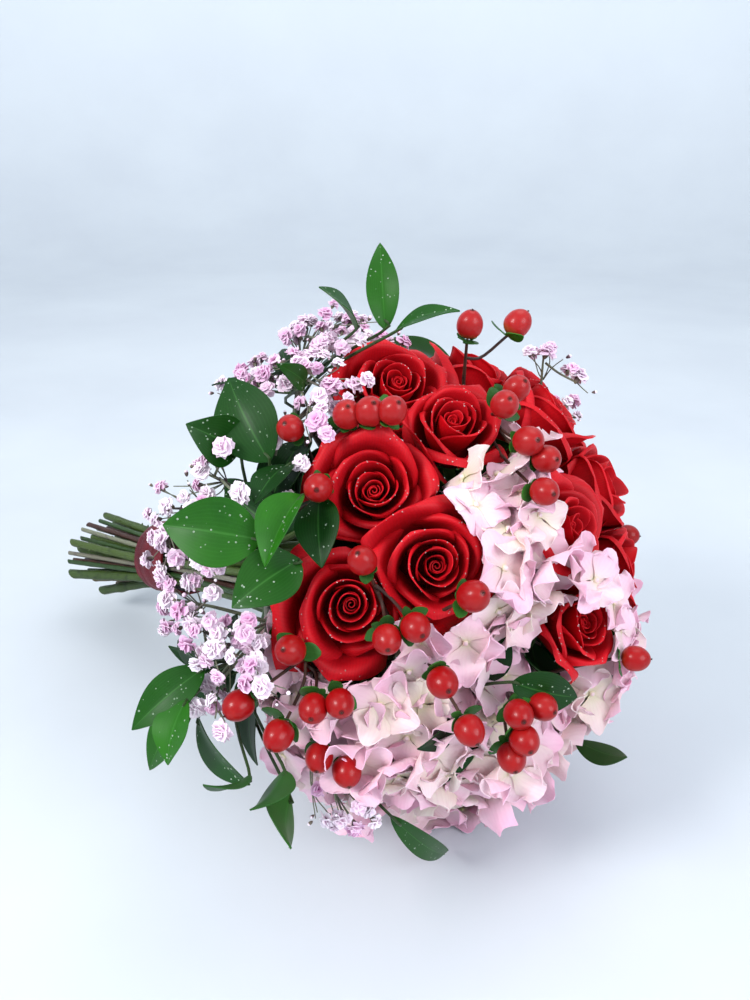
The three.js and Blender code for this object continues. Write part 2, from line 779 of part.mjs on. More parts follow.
stemsOf("hypericum").forEach((stem, i) => {
  spray(`hypericum_spray_${i + 1}`, "berry", stem, HYPERICUM[i].clusters, berryCluster);
});
stemsOf("ruscus").forEach((stem, i) => {
  spray(`ruscus_spray_${i + 1}`, "leaf", stem, RUSCUS[i].leaves, ruscusLeaf);
});
stemsOf("breath").forEach((stem, i) => {
  const others = [...placed, ...roses, ...heads.map(({ solid }) => ({ room: solid }))];
  spray(`babys_breath_spray_${i + 1}`, "breath", stem, BREATH[i].clusters, (cluster, from) =>
    breathCluster(cluster, from, others),
  );
});

// The ribbon: a wound band round the tie
function ribbon() {
  const inner = tieRadius / Math.cos(Math.PI / 16) + GAP;
  const half = (TIE_LENGTH - 2) / 2;
  const profile = [
    new THREE.Vector2(inner, -half),
    new THREE.Vector2(inner + RIBBON_THICKNESS, -half),
    new THREE.Vector2(inner + RIBBON_THICKNESS + 0.6, 0),
    new THREE.Vector2(inner + RIBBON_THICKNESS, half),
    new THREE.Vector2(inner, half),
    new THREE.Vector2(inner, -half),
  ];
  const band = new THREE.LatheGeometry(profile, 16);
  band.rotateX(Math.PI / 2);
  const middle = inPlane(new THREE.Vector2(), TIE_START + TIE_LENGTH / 2);
  return solidOf(posed(band, middle, along));
}

const flowerStems = stems.filter(({ kind }) => kind === "rose" || kind === "hydrangea");
const number = (i) => String(i + 1).padStart(2, "0");
const taken = [...placed, ...flowerStems.flatMap((stem) => stem.parts)];

const stemGroup = new THREE.Group();
stemGroup.position.copy(inPlane(new THREE.Vector2(), TIE_START + TIE_LENGTH / 2));
const headGroup = new THREE.Group();
headGroup.position.copy(HEAD_CENTRE);
group.add(stemGroup, headGroup);

// Adds a piece to its group, with its own origin at a point of the bouquet, cut level with the table
function keep(parent, name, look, solid, at) {
  const standing = largest(solid.trimByPlane([0, 0, 1], 0));
  const geometry = geometryOf(standing).translate(-at.x, -at.y, -at.z);
  const mesh = new THREE.Mesh(geometry, new THREE.MeshStandardMaterial(COLOURS[look]));
  mesh.name = name;
  mesh.position.copy(at).sub(parent.position);
  parent.add(mesh);
}

flowerStems.forEach((stem, i) => {
  const solid = clearOf(fused(stem.parts.map((each) => each.solid)), placed);
  const name = stem.kind === "rose" ? `rose_stem_${number(i)}` : `hydrangea_stem_${i + 1 - roses.length}`;
  keep(stemGroup, name, "stem", solid, stem.path[0]);
});
roses.forEach((rose, i) => {
  keep(headGroup, `rose_bloom_${number(i)}`, "rose", clearOf(rose.solid, taken), rose.centre);
});
heads.forEach((head, i) => {
  const solid = clearOf(clearOf(head.solid, roses), taken);
  keep(headGroup, `hydrangea_head_${i + 1}`, "hydrangea", solid, head.centre);
});
sprays.forEach(({ name, look, solid, at }) => keep(headGroup, name, look, solid, at));
keep(stemGroup, "ribbon", "ribbon", ribbon(), stemGroup.position);

export default group;
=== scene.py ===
"""The looks of a hand-tied bridal bouquet of red roses, pink hydrangea, hypericum berries, ruscus and baby's
breath, built around its solids. Lengths are in millimetres until a mesh is made, which is in metres."""

import json
import math

import bpy
import numpy as np
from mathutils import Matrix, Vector
from mathutils.kdtree import KDTree

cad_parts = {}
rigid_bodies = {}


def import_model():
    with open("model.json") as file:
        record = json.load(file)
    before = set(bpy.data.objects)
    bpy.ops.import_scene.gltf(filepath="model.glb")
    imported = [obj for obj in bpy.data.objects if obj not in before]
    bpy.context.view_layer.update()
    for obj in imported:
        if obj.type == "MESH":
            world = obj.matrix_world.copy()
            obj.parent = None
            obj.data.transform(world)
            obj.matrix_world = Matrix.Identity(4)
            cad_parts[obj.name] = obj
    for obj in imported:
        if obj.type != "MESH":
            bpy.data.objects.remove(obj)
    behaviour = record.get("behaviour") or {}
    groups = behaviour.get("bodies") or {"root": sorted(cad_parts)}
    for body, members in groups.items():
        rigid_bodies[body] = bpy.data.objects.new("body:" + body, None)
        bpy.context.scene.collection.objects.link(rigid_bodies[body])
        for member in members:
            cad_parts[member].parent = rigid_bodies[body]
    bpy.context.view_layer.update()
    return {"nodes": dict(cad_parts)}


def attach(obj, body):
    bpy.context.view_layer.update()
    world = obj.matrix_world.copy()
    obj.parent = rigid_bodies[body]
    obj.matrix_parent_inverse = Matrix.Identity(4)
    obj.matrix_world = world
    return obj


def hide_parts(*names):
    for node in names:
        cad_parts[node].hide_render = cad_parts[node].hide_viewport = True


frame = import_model()

MM = 0.001
HEAD_CENTRE = np.array([-22.5, 0.0, 125.0])
AXIS_TILT = math.radians(14.8)
ALONG = np.array([math.cos(AXIS_TILT), 0.0, math.sin(AXIS_TILT)])
ACROSS = np.array([0.0, 1.0, 0.0])
UPRIGHT = np.cross(ALONG, ACROSS)
TABLE_CLEARANCE = 0.3
LOWEST = 0.03  # no point of a piece is lower
WHOLE_TURN = 6.28  # the range that random turns and phases are drawn from
rng = np.random.default_rng(11)


# Directions and places in the bouquet


def direction(lean, clock):
    """Lean from the bouquet's axis and clock round it from the top, positive towards +Y, in degrees."""
    l, c = math.radians(lean), math.radians(clock)
    return ALONG * math.cos(l) + UPRIGHT * math.sin(l) * math.cos(c) + ACROSS * math.sin(l) * math.sin(c)


def place(lean, clock, radius):
    return HEAD_CENTRE + direction(lean, clock) * radius


def unit(vectors):
    return vectors / np.maximum(np.linalg.norm(vectors, axis=-1, keepdims=True), 1e-9)


# The photograph's camera, which some places are read off in pixels
CAMERA = np.array([224.8, -321.1, 347.0])
FACING = unit(CAMERA - HEAD_CENTRE)
HEADING = math.radians(129.5)
PITCH = math.radians(23.5)
PICTURE_WIDTH, PICTURE_HEIGHT, FOCAL = 750, 1000, 850  # in pixels
SENSOR = 36.0


def sight_line(u, v):
    level = np.array([math.cos(HEADING), math.sin(HEADING), 0.0])
    right = np.array([level[1], -level[0], 0.0])
    forward = level * math.cos(PITCH) - np.array([0.0, 0.0, math.sin(PITCH)])
    up = np.cross(right, forward)
    ray = forward + right * (u - PICTURE_WIDTH / 2) / FOCAL + up * (PICTURE_HEIGHT / 2 - v) / FOCAL
    return unit(ray)


def seen(u, v, radius):
    """Where the photograph's pixel meets the ball of that radius round the head, or its nearest point."""
    ray = sight_line(u, v)
    nearest = CAMERA + ray * ((HEAD_CENTRE - CAMERA) @ ray)
    missed = np.linalg.norm(nearest - HEAD_CENTRE)
    return nearest if missed >= radius else nearest - ray * math.sqrt(radius**2 - missed**2)


def all_seen(*spots):
    return [seen(*spot) for spot in spots]


def seen_at_level(u, v, z):
    ray = sight_line(u, v)
    return CAMERA + ray * ((z - CAMERA[2]) / ray[2])


def smooth(low, high, x):
    t = np.clip((x - low) / (high - low), 0, 1)
    return t * t * (3 - 2 * t)


def between(t, first, last):
    return first + (last - first) * t


def stacked(*values):
    """Numbers or grids of them side by side, as the last axis of one array."""
    return np.stack(np.broadcast_arrays(*values), axis=-1)


def around(turn, up, out=1.0):
    """A place at a distance out along a turn about +Z, and up."""
    return np.array([out * math.cos(turn), out * math.sin(turn), up])


def rows_and_columns(rows, columns):
    """Shares from 0 to 1 along a sheet, and from -1 to 1 across it."""
    return np.linspace(0, 1, rows)[:, None], np.linspace(-1, 1, columns)[None, :]


def turned(out, across, height, turn):
    """Points at a distance out along a turn about +Z, across it and up."""
    c, s = math.cos(turn), math.sin(turn)
    return stacked(out * c - across * s, out * s + across * c, height)


def turn_to(axis, spin=0.0):
    """The turn, as a matrix, that takes +Z to an axis after a spin about +Z."""
    turn = Vector((0, 0, 1)).rotation_difference(Vector(unit(np.asarray(axis, float))))
    c, s = math.cos(spin), math.sin(spin)
    return np.array(turn.to_matrix()) @ np.array([[c, -s, 0], [s, c, 0], [0, 0, 1]])


def curve(points, shares):
    """Points along the Catmull-Rom curve through points, at shares from 0 to 1."""
    points = np.asarray(points, float)
    ends = np.concatenate([[2 * points[0] - points[1]], points, [2 * points[-1] - points[-2]]])
    t = np.clip(np.asarray(shares, float), 0, 1) * (len(points) - 1)
    i = np.minimum(t.astype(int), len(points) - 2)
    f = (t - i)[..., None]
    a, b, c, d = (ends[i + k] for k in range(4))
    return 0.5 * (2 * b + (c - a) * f + (2 * a - 5 * b + 4 * c - d) * f**2 + (3 * b - a - 3 * c + d) * f**3)


PATH_STEP = 4.0  # about how far apart the points of a rounded path are
ROUNDINGS = 3


def rounded(path):
    """A path of straight stretches, sampled evenly, with its corners rounded."""
    path = np.asarray(path, float)
    lengths = np.linalg.norm(np.diff(path, axis=0), axis=1)
    at = np.concatenate([[0], np.cumsum(lengths)])
    spots = np.linspace(0, at[-1], max(int(at[-1] / PATH_STEP), 2) + 1)
    line = np.stack([np.interp(spots, at, path[:, k]) for k in range(3)], axis=1)
    for _ in range(ROUNDINGS):
        line[1:-1] = (line[:-2] + line[1:-1] * 2 + line[2:]) / 4
    return line


# Surfaces gathered into meshes


class Surfaces:
    """The closed thin sheets, tubes and beads of one piece. Each point has a tag of three values for the
    materials, usually across, along and a number of its own, and a side: 1 on a sheet's face, 0 behind.
    A surface has the first material if it names no other as its look."""

    def __init__(self, *materials):
        self.materials = materials
        self.points, self.tags, self.sides, self.faces = [], [], [], {3: [], 4: []}
        self.looks = {3: [], 4: []}
        self.count = 0

    def number_of(self, look):
        return 0 if look is None else self.materials.index(look)

    def add(self, points, tags, sides, quads, triangles=(), look=None):
        self.points.append(points.reshape(-1, 3))
        self.tags.append(np.broadcast_to(tags, points.shape).reshape(-1, 3))
        self.sides.append(np.broadcast_to(sides, points.shape[:-1]).reshape(-1))
        for size, faces in ((4, quads), (3, triangles)):
            if len(faces):
                self.faces[size].append(np.asarray(faces) + self.count)
                self.looks[size].append(np.full(len(faces), self.number_of(look)))
        self.count += len(self.points[-1])

    def sheet(self, points, thickness, tags, look=None):
        """A thin body on a grid of points, whose face is to the right-hand side of its columns and rows."""
        rows, columns = points.shape[:2]
        normal = unit(np.cross(np.gradient(points, axis=1), np.gradient(points, axis=0)))
        half = normal * (np.asarray(thickness) / 2)[..., None]
        both = np.concatenate([points + half, (points - half)[:, ::-1]], axis=1)
        marks = np.concatenate([tags, tags[:, ::-1]], axis=1)
        sides = np.broadcast_to(np.repeat([1.0, 0.0], columns), both.shape[:2])
        quads = wall(rows, 2 * columns)
        k = np.arange(columns - 1)
        back = 2 * columns - 1 - k
        first = np.stack([k, back, back - 1, k + 1], axis=1)
        last = first[:, ::-1] + (rows - 1) * 2 * columns
        self.add(both, marks, sides, np.concatenate([quads, first, last]), look=look)

    def rings(self, rings, tags, look=None, end_look=None, ends=None):
        """A closed body on rings of points that turn the right-hand way about the line through them."""
        count, sides = rings.shape[:2]
        first, last = (rings[0].mean(0), rings[-1].mean(0)) if ends is None else ends
        points = np.concatenate([rings.reshape(-1, 3), [first, last]])
        marks = np.broadcast_to(tags, rings.shape).reshape(-1, 3)
        marks = np.concatenate([marks, [marks[0], marks[-1]]])
        k = np.arange(sides)
        after = (k + 1) % sides
        middle = count * sides
        foot = np.stack([np.full(sides, middle), after, k], axis=1)
        row = (count - 1) * sides
        top = np.stack([np.full(sides, middle + 1), row + k, row + after], axis=1)
        if end_look is None:
            self.add(points, marks, 1.0, wall(count, sides), np.concatenate([foot, top]), look)
            return
        self.add(points, marks, 1.0, wall(count, sides), foot, look)
        self.faces[3].append(top + self.count - len(points))
        self.looks[3].append(np.full(len(top), self.number_of(end_look)))

    def tube(self, path, radii, sides, tag, look=None, end_look=None, slant=0.0):
        """A round tube along a path, with a radius at each point. A slant cuts its last end obliquely."""
        path = np.asarray(path, float)
        radii = np.broadcast_to(radii, len(path))
        tangents = unit(np.gradient(path, axis=0))
        side = turn_to(tangents[0])[:, 0]
        turn = np.linspace(0, 2 * math.pi, sides, endpoint=False)
        rings = []
        for point, tangent, radius in zip(path, tangents, radii):
            side = unit(side - tangent * (side @ tangent))
            other = np.cross(tangent, side)
            rings.append(point + radius * (np.outer(np.cos(turn), side) + np.outer(np.sin(turn), other)))
        rings = np.array(rings)
        if slant:
            rings[-1] += tangents[-1] * (slant * radii[-1] * np.cos(turn))[:, None]
        along = np.linspace(0, 1, len(path))[:, None]
        tags = stacked(turn / (2 * math.pi), along, tag)
        self.rings(rings, tags, look, end_look)

    def bead(self, centre, axis, radius, half_length, tag, sides, rows, look=None, shape=None):
        """An egg-shaped bead. Its shape is a function of the angle round it and of the height, -1 to 1."""
        lift = -np.cos(np.linspace(0, math.pi, rows + 2)[1:-1])[:, None]
        turn = np.linspace(0, 2 * math.pi, sides, endpoint=False)[None, :]
        reach = np.sqrt(1 - lift**2) * radius * (shape(turn, lift) if shape else 1.0)
        local = stacked(reach * np.cos(turn), reach * np.sin(turn), lift * half_length)
        frame_of = turn_to(axis)
        tags = stacked(turn / (2 * math.pi), (lift + 1) / 2, tag)
        ends = [centre - frame_of[:, 2] * half_length, centre + frame_of[:, 2] * half_length]
        self.rings(local @ frame_of.T + centre, tags, look, ends=ends)


def wall(rows, columns):
    """The quads between rows of points that each close on themselves."""
    k = np.arange(columns)
    after = (k + 1) % columns
    start = (np.arange(rows - 1) * columns)[:, None]
    quads = np.stack([start + k, start + after, start + after + columns, start + k + columns], axis=-1)
    return quads.reshape(-1, 4)


SHARP = math.radians(55)  # edges that turn by more stay sharp


def piece(name, surfaces, slot, *nodes):
    """One object of the bouquet, in the place of its solids."""
    points = np.concatenate(surfaces.points) * MM
    points[:, 2] = np.maximum(points[:, 2], LOWEST * MM)
    corners, starts, kinds = [], [], []
    for size in (4, 3):
        if surfaces.faces[size]:
            faces = np.concatenate(surfaces.faces[size])
            starts.append(sum(map(len, corners)) + np.arange(len(faces)) * size)
            corners.append(faces.ravel())
            kinds.append(np.concatenate(surfaces.looks[size]))
    corners, starts, kinds = map(np.concatenate, (corners, starts, kinds))
    mesh = bpy.data.meshes.new(name)
    mesh.vertices.add(len(points))
    mesh.vertices.foreach_set("co", points.astype(np.float32).ravel())
    mesh.loops.add(len(corners))
    mesh.loops.foreach_set("vertex_index", corners.astype(np.int32))
    mesh.polygons.add(len(starts))
    mesh.polygons.foreach_set("loop_start", starts.astype(np.int32))
    mesh.polygons.foreach_set("material_index", kinds.astype(np.int32))
    mesh.update(calc_edges=True)
    tags = mesh.attributes.new("tag", "FLOAT_VECTOR", "POINT")
    tags.data.foreach_set("vector", np.concatenate(surfaces.tags).astype(np.float32).ravel())
    sides = mesh.attributes.new("side", "FLOAT", "POINT")
    sides.data.foreach_set("value", np.concatenate(surfaces.sides).astype(np.float32))
    mesh.shade_smooth()
    mesh.set_sharp_from_angle(angle=SHARP)
    for look in surfaces.materials:
        mesh.materials.append(look)
    made = bpy.data.objects.new(name, mesh)
    bpy.context.scene.collection.objects.link(made)
    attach(made, "root")
    if nodes:
        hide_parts(*nodes)


# Materials


def rgb(code):
    """The linear colour of a six-digit screen colour."""
    values = [int(code[k : k + 2], 16) / 255 for k in (0, 2, 4)]
    return tuple(v / 12.92 if v <= 0.04045 else ((v + 0.055) / 1.055) ** 2.4 for v in values) + (1.0,)


class Look:
    """A procedural material, and short ways to make its nodes."""

    def __init__(self, name, **values):
        self.material = bpy.data.materials.new(name)
        self.material.use_nodes = True
        self.nodes = self.material.node_tree.nodes
        self.links = self.material.node_tree.links
        self.shader = self.nodes["Principled BSDF"]
        for socket, value in values.items():
            self.shader.inputs[socket.replace("_", " ")].default_value = value
        self.objects = self.nodes.new("ShaderNodeTexCoord").outputs["Object"]

    def feed(self, source, socket):
        if hasattr(source, "is_output"):
            self.links.new(source, socket)
        else:
            socket.default_value = source

    def tag(self):
        """The tag's three values: across, along and own number."""
        attribute = self.nodes.new("ShaderNodeAttribute")
        attribute.attribute_name = "tag"
        parts = self.nodes.new("ShaderNodeSeparateXYZ")
        self.links.new(attribute.outputs["Vector"], parts.inputs[0])
        return parts.outputs

    def side(self):
        attribute = self.nodes.new("ShaderNodeAttribute")
        attribute.attribute_name = "side"
        return attribute.outputs["Fac"]

    def noise(self, scale, detail, roughness=0.55, distortion=0.0):
        node = self.nodes.new("ShaderNodeTexNoise")
        self.links.new(self.objects, node.inputs["Vector"])
        node.inputs["Scale"].default_value = scale
        node.inputs["Detail"].default_value = detail
        node.inputs["Roughness"].default_value = roughness
        node.inputs["Distortion"].default_value = distortion
        return node.outputs["Fac"]

    def math(self, operation, a, b=0.0, c=0.0):
        node = self.nodes.new("ShaderNodeMath")
        node.operation = operation
        for source, socket in zip((a, b, c), node.inputs):
            self.feed(source, socket)
        return node.outputs[0]

    def scaled(self, source, factor):
        return self.math("MULTIPLY", source, factor)

    def waves(self, source, count):
        """Even waves from -1 to 1 across a source."""
        return self.math("SINE", self.scaled(source, count))

    def ramp(self, factor, *stops):
        """A colour ramp. Each stop is a place and a screen colour."""
        node = self.nodes.new("ShaderNodeValToRGB")
        ramp = node.color_ramp
        while len(ramp.elements) < len(stops):
            ramp.elements.new(0.5)
        for element, (at, code) in zip(ramp.elements, stops):
            element.position = at
            element.color = rgb(code)
        self.links.new(factor, node.inputs["Fac"])
        return node.outputs["Color"]

    def mix(self, factor, a, b):
        node = self.nodes.new("ShaderNodeMix")
        node.data_type = "RGBA"
        self.feed(factor, node.inputs[0])
        for source, socket in ((a, node.inputs[6]), (b, node.inputs[7])):
            self.feed(rgb(source) if isinstance(source, str) else source, socket)
        return node.outputs[2]

    def spread(self, source, low, high, to_low=0.0, to_high=1.0):
        node = self.nodes.new("ShaderNodeMapRange")
        for value, socket in zip((source, low, high, to_low, to_high), node.inputs):
            self.feed(value, socket)
        return node.outputs[0]

    def colour(self, source):
        self.links.new(source, self.shader.inputs["Base Color"])

    def rough(self, source, low, high):
        self.links.new(self.spread(source, 0, 1, low, high), self.shader.inputs["Roughness"])

    def bump(self, height, strength, depth):
        node = self.nodes.new("ShaderNodeBump")
        node.inputs["Strength"].default_value = strength
        node.inputs["Distance"].default_value = depth * MM
        self.links.new(height, node.inputs["Height"])
        self.links.new(node.outputs[0], self.shader.inputs["Normal"])


def stripes(look, across, count, wander):
    """Thin lines along a sheet, 0 between them and 1 on them."""
    bent = look.math("MULTIPLY_ADD", wander, 0.12, across)
    wave = look.waves(bent, count)
    return look.math("POWER", look.math("ABSOLUTE", wave), 6.0)


def rose_look():
    look = Look(
        "rose_petal",
        Sheen_Weight=0.14,
        Sheen_Roughness=0.4,
        Sheen_Tint=rgb("ff2c30"),
        Specular_IOR_Level=0.18,
        Subsurface_Weight=0.12,
        Subsurface_Radius=(1.0, 0.06, 0.04),
        Subsurface_Scale=2.5 * MM,
    )
    across, along, own = look.tag()
    patches = look.noise(55, 4)
    # Each petal darkens from its bright lip down to its foot deep in the bloom: painted shade
    depth = look.math("ADD", along, look.scaled(look.math("SUBTRACT", patches, 0.5), 0.35))
    lit = look.ramp(depth, (0.0, "5a0006"), (0.4, "b4030f"), (0.75, "de0a1a"), (1.0, "e81222"))
    dark = look.ramp(depth, (0.0, "4a0005"), (0.5, "9c020d"), (0.95, "cc0816"))
    colour = look.mix(own, lit, dark)
    behind = look.mix(0.45, colour, "a8141f")
    colour = look.mix(look.side(), behind, colour)
    veins = stripes(look, across, 60.0, look.noise(90, 2))
    colour = look.mix(look.scaled(veins, 0.12), colour, "5a0006")
    look.colour(colour)
    look.rough(patches, 0.42, 0.62)
    fine = look.math("ADD", look.scaled(veins, 0.5), look.noise(1500, 2))
    look.bump(fine, 0.35, 0.12)
    return look.material


def sepal_look():
    look = Look(
        "hydrangea_sepal",
        Specular_IOR_Level=0.3,
        Subsurface_Weight=0.25,
        Subsurface_Radius=(1.0, 0.6, 0.75),
        Subsurface_Scale=2.5 * MM,
        Sheen_Weight=0.1,
    )
    across, along, own = look.tag()
    patches = look.noise(38, 3)
    pink = look.ramp(along, (0.0, "ccd88c"), (0.16, "ead6cc"), (0.5, "ebbdcd"), (1.0, "e6a8c1"))
    pale = look.ramp(along, (0.0, "bed07c"), (0.25, "e9dac6"), (0.7, "eed0d6"), (1.0, "e8bccd"))
    colour = look.mix(look.math("FRACT", look.scaled(own, 7.3)), pink, pale)
    cream = look.ramp(along, (0.0, "b8cc74"), (0.35, "e2dcba"), (1.0, "e8d8cf"))
    colour = look.mix(look.spread(own, 0.62, 0.95), colour, cream)
    colour = look.mix(look.spread(patches, 0.45, 0.75, 0.0, 0.4), colour, "e2a2ba")
    veins = stripes(look, across, 13.0, patches)
    colour = look.mix(look.scaled(veins, 0.08), colour, "cc7fa4")
    colour = look.mix(look.side(), look.mix(0.35, colour, "e8bccc"), colour)
    look.colour(colour)
    look.rough(patches, 0.5, 0.68)
    look.bump(look.math("ADD", look.scaled(veins, 0.5), look.noise(400, 3)), 0.35, 0.2)
    return look.material


def eye_look():
    look = Look("hydrangea_eye", Roughness=0.5)
    look.colour(look.ramp(look.tag()[1], (0.0, "b9c46a"), (0.6, "efe6c8"), (1.0, "d9b6c6")))
    return look.material


def stalk_look(name, young, old, spots, roughness=0.5):
    """A stem's skin: ribbed along its length and mottled."""
    look = Look(name, Specular_IOR_Level=0.4)
    across, _, own = look.tag()
    mottle = look.noise(160, 5, 0.65, 0.4)
    colour = look.mix(own, young, old)
    colour = look.mix(look.spread(mottle, 0.52, 0.72), colour, spots)
    look.colour(colour)
    look.rough(mottle, roughness - 0.12, roughness + 0.15)
    ribs = look.waves(across, 75.0)
    look.bump(look.math("ADD", look.scaled(ribs, 0.25), mottle), 0.5, 0.35)
    return look.material


def pith_look():
    look = Look("cut_pith", Roughness=0.75)
    look.colour(look.ramp(look.noise(900, 4), (0.3, "b9b981"), (0.7, "dedcae")))
    look.bump(look.noise(1800, 2), 0.4, 0.15)
    return look.material


def leaf_look():
    look = Look("ruscus_leaf", Specular_IOR_Level=0.15, Coat_Weight=0.02, Coat_Roughness=0.2)
    across, _, own = look.tag()
    patches = look.noise(45, 4)
    # Each leaf's own number runs from near-black to mid green: partly its own tone, partly painted shade, as
    # the leaves deep among the flowers are given the darkest end
    colour = look.mix(own, "041d07", "2a6c12")
    colour = look.mix(look.spread(patches, 0.35, 0.75, 0.0, 0.5), colour, "0a390c")
    lines = stripes(look, across, 26.0, look.scaled(patches, 0.3))
    colour = look.mix(look.scaled(lines, 0.04), colour, "3f8a35")
    rib = look.spread(look.math("ABSOLUTE", across), 0.05, 0.0)
    colour = look.mix(look.scaled(rib, 0.25), colour, "4f9040")
    behind = look.mix(0.2, colour, "54784a")
    look.colour(look.mix(look.side(), behind, colour))
    look.rough(patches, 0.36, 0.5)
    height = look.math("ADD", look.scaled(lines, -0.25), look.noise(700, 2))
    look.bump(height, 0.15, 0.15)
    return look.material


def berry_look():
    look = Look(
        "hypericum_berry",
        Specular_IOR_Level=0.2,
        Coat_Weight=0.1,
        Coat_Roughness=0.06,
        Subsurface_Weight=0.12,
        Subsurface_Radius=(1.0, 0.2, 0.15),
        Subsurface_Scale=2.0 * MM,
    )
    _, along, own = look.tag()
    patches = look.noise(120, 3)
    deep_red = look.ramp(along, (0.0, "882010"), (0.3, "96080c"), (0.987, "8e070a"), (0.991, "280504"))
    coral = look.ramp(along, (0.0, "a0542c"), (0.3, "a41c1c"), (0.987, "9c181a"), (0.991, "380e0a"))
    # Berries higher above the table take more of the coral ramp: painted light, with a little tone at random
    colour = look.mix(own, deep_red, coral)
    colour = look.mix(look.spread(patches, 0.5, 0.8, 0.0, 0.2), colour, "bc3c30")
    look.colour(colour)
    look.rough(patches, 0.26, 0.4)
    look.bump(look.noise(500, 3), 0.15, 0.1)
    return look.material


def breath_look():
    look = Look("babys_breath_petal", Roughness=0.8, Sheen_Weight=0.2)
    _, along, own = look.tag()
    white = look.ramp(along, (0.0, "c080ae"), (0.4, "e6cfe0"), (1.0, "f4ecf1"))
    pink = look.ramp(along, (0.0, "8c3872"), (0.35, "cc7ab2"), (1.0, "e8bada"))
    look.colour(look.mix(own, white, pink))
    look.bump(look.noise(700, 3), 0.3, 0.15)
    return look.material


def calyx_look():
    look = Look("babys_breath_calyx", Roughness=0.6)
    look.colour(look.ramp(look.noise(300, 3), (0.35, "4a2238"), (0.65, "6d6a52")))
    look.bump(look.noise(1200, 2), 0.3, 0.1)
    return look.material


def satin_look():
    look = Look(
        "ribbon_satin",
        Sheen_Weight=0.06,
        Sheen_Roughness=0.3,
        Sheen_Tint=rgb("ff3a4c"),
        Anisotropic=0.6,
        Specular_IOR_Level=0.3,
    )
    across, along, _ = look.tag()
    cloud = look.noise(70, 3)
    colour = look.ramp(cloud, (0.3, "4a0412"), (0.7, "6c071a"))
    threads = look.waves(across, 2600.0)
    weft = look.waves(along, 900.0)
    look.colour(colour)
    look.rough(cloud, 0.34, 0.48)
    look.bump(look.math("ADD", threads, look.scaled(weft, 0.4)), 0.3, 0.06)
    return look.material


def dew_look(name, tint, pale):
    """Partly clear water with a pale base colour: painted glints, tinted with some of the colour under them.
    """
    look = Look(name, Roughness=0.04, IOR=1.33, Transmission_Weight=0.6, Specular_IOR_Level=0.9)
    look.colour(look.ramp(look.noise(60, 1), (0.3, tint), (0.7, pale)))
    return look.material


def floor_look():
    """Pale grey underfoot, and paler up the wall."""
    look = Look("pale_floor", Specular_IOR_Level=0.3)
    cloud = look.noise(3, 4)
    floor = look.ramp(cloud, (0.35, "c3c8ce"), (0.65, "cacfd4"))
    parts = look.nodes.new("ShaderNodeSeparateXYZ")
    look.links.new(look.objects, parts.inputs[0])
    look.colour(look.mix(look.spread(parts.outputs[2], 0.0, 1.2), floor, "f0f4f8"))
    look.rough(cloud, 0.5, 0.6)
    look.bump(look.noise(220, 3), 0.05, 0.2)
    return look.material


ROSE = rose_look()
SEPAL = sepal_look()
EYE = eye_look()
PITH = pith_look()
LEAF = leaf_look()
BERRY = berry_look()
BREATH = breath_look()
BREATH_CALYX = calyx_look()
SATIN = satin_look()
ROSE_DEW = dew_look("rose_dew", "ecb4b0", "f8dcda")
LEAF_DEW = dew_look("leaf_dew", "a8cba0", "d4e6cf")
ROSE_STEM = stalk_look("rose_stem", "27420f", "3d4f17", "1a280a")
ROSE_CALYX = stalk_look("rose_calyx", "3f6a2c", "55753a", "2e4f22")
WOODY_STEM = stalk_look("woody_stem", "564829", "64573a", "3a2f1a", 0.7)
SLIM_STEM = stalk_look("slim_stem", "213c12", "31491c", "18280e")
BERRY_TWIG = stalk_look("berry_twig", "341812", "4c2e20", "220e0a")
BREATH_TWIG = stalk_look("breath_twig", "6a6258", "7a8466", "4c3a46")
PEDICEL = stalk_look("pedicel", "a3b06a", "c3b79a", "b58fa8", 0.6)


# Roses


class Rose:
    """A rose, how open it is up to 1, and the pixel where its heart shows, if it does."""

    def __init__(self, number, lean, clock, size, openness, heart=None):
        self.number = number
        self.size = size
        self.openness = openness
        self.radius = ROSE_RADIUS * size
        self.outward = direction(lean, clock)
        pivot = place(lean, clock, ROSE_SEAT) - self.outward * ROSE_PIVOT * size
        self.axis = unit(seen(*heart, HEART_OUT) - pivot if heart else self.outward + ALONG * NOD)
        self.centre = pivot + self.axis * ROSE_PIVOT * size
        self.base = self.centre - self.axis * ROSE_BASE * size


ROSE_SEAT = 106.0
ROSE_RADIUS = 26.0
ROSE_BASE = 22.0
ROSE_PIVOT = 11.0
HEART_OUT = 118.0
NOD = 0.22  # how far the other roses face towards the bouquet's crown
ROSES = [
    Rose(number, *values)
    for number, values in enumerate(
        [
            (78, -6, 1.06, 0.5, (395, 380)),
            (71, 21, 1.02, 0.4, (480, 362)),
            (52, -9, 0.94, 0.6, (459, 416)),
            (64, -38, 1.06, 0.75, (373, 485)),
            (45, -58, 1.06, 0.85, (434, 564)),
            (66, -75, 1.08, 0.9, (350, 611)),
            (52, 33, 1.18, 0.3),
            (36, 60, 1.1, 0.4),
            (19, -6, 0.92, 0.5),
            (9, -150, 0.86, 0.25, (588, 624)),
            (53, 71, 1.06, 0.5),
            (27, 97, 1.0, 0.4),
            (77, 48, 1.04, 0.7),
            (76, 77, 1.02, 0.8),
            (57, 100, 1.04, 0.7),
            (84, 103, 1.04, 0.8),
        ],
        1,
    )
]
PETALS = 17
PETAL_STEP = math.radians(141)  # from each petal to the next one out
HEART_OFFSET = 2.4  # how far the heart sits off the middle of the rim
PETAL_ROWS, PETAL_COLUMNS = 11, 17
PETAL_THICKNESS = 0.42
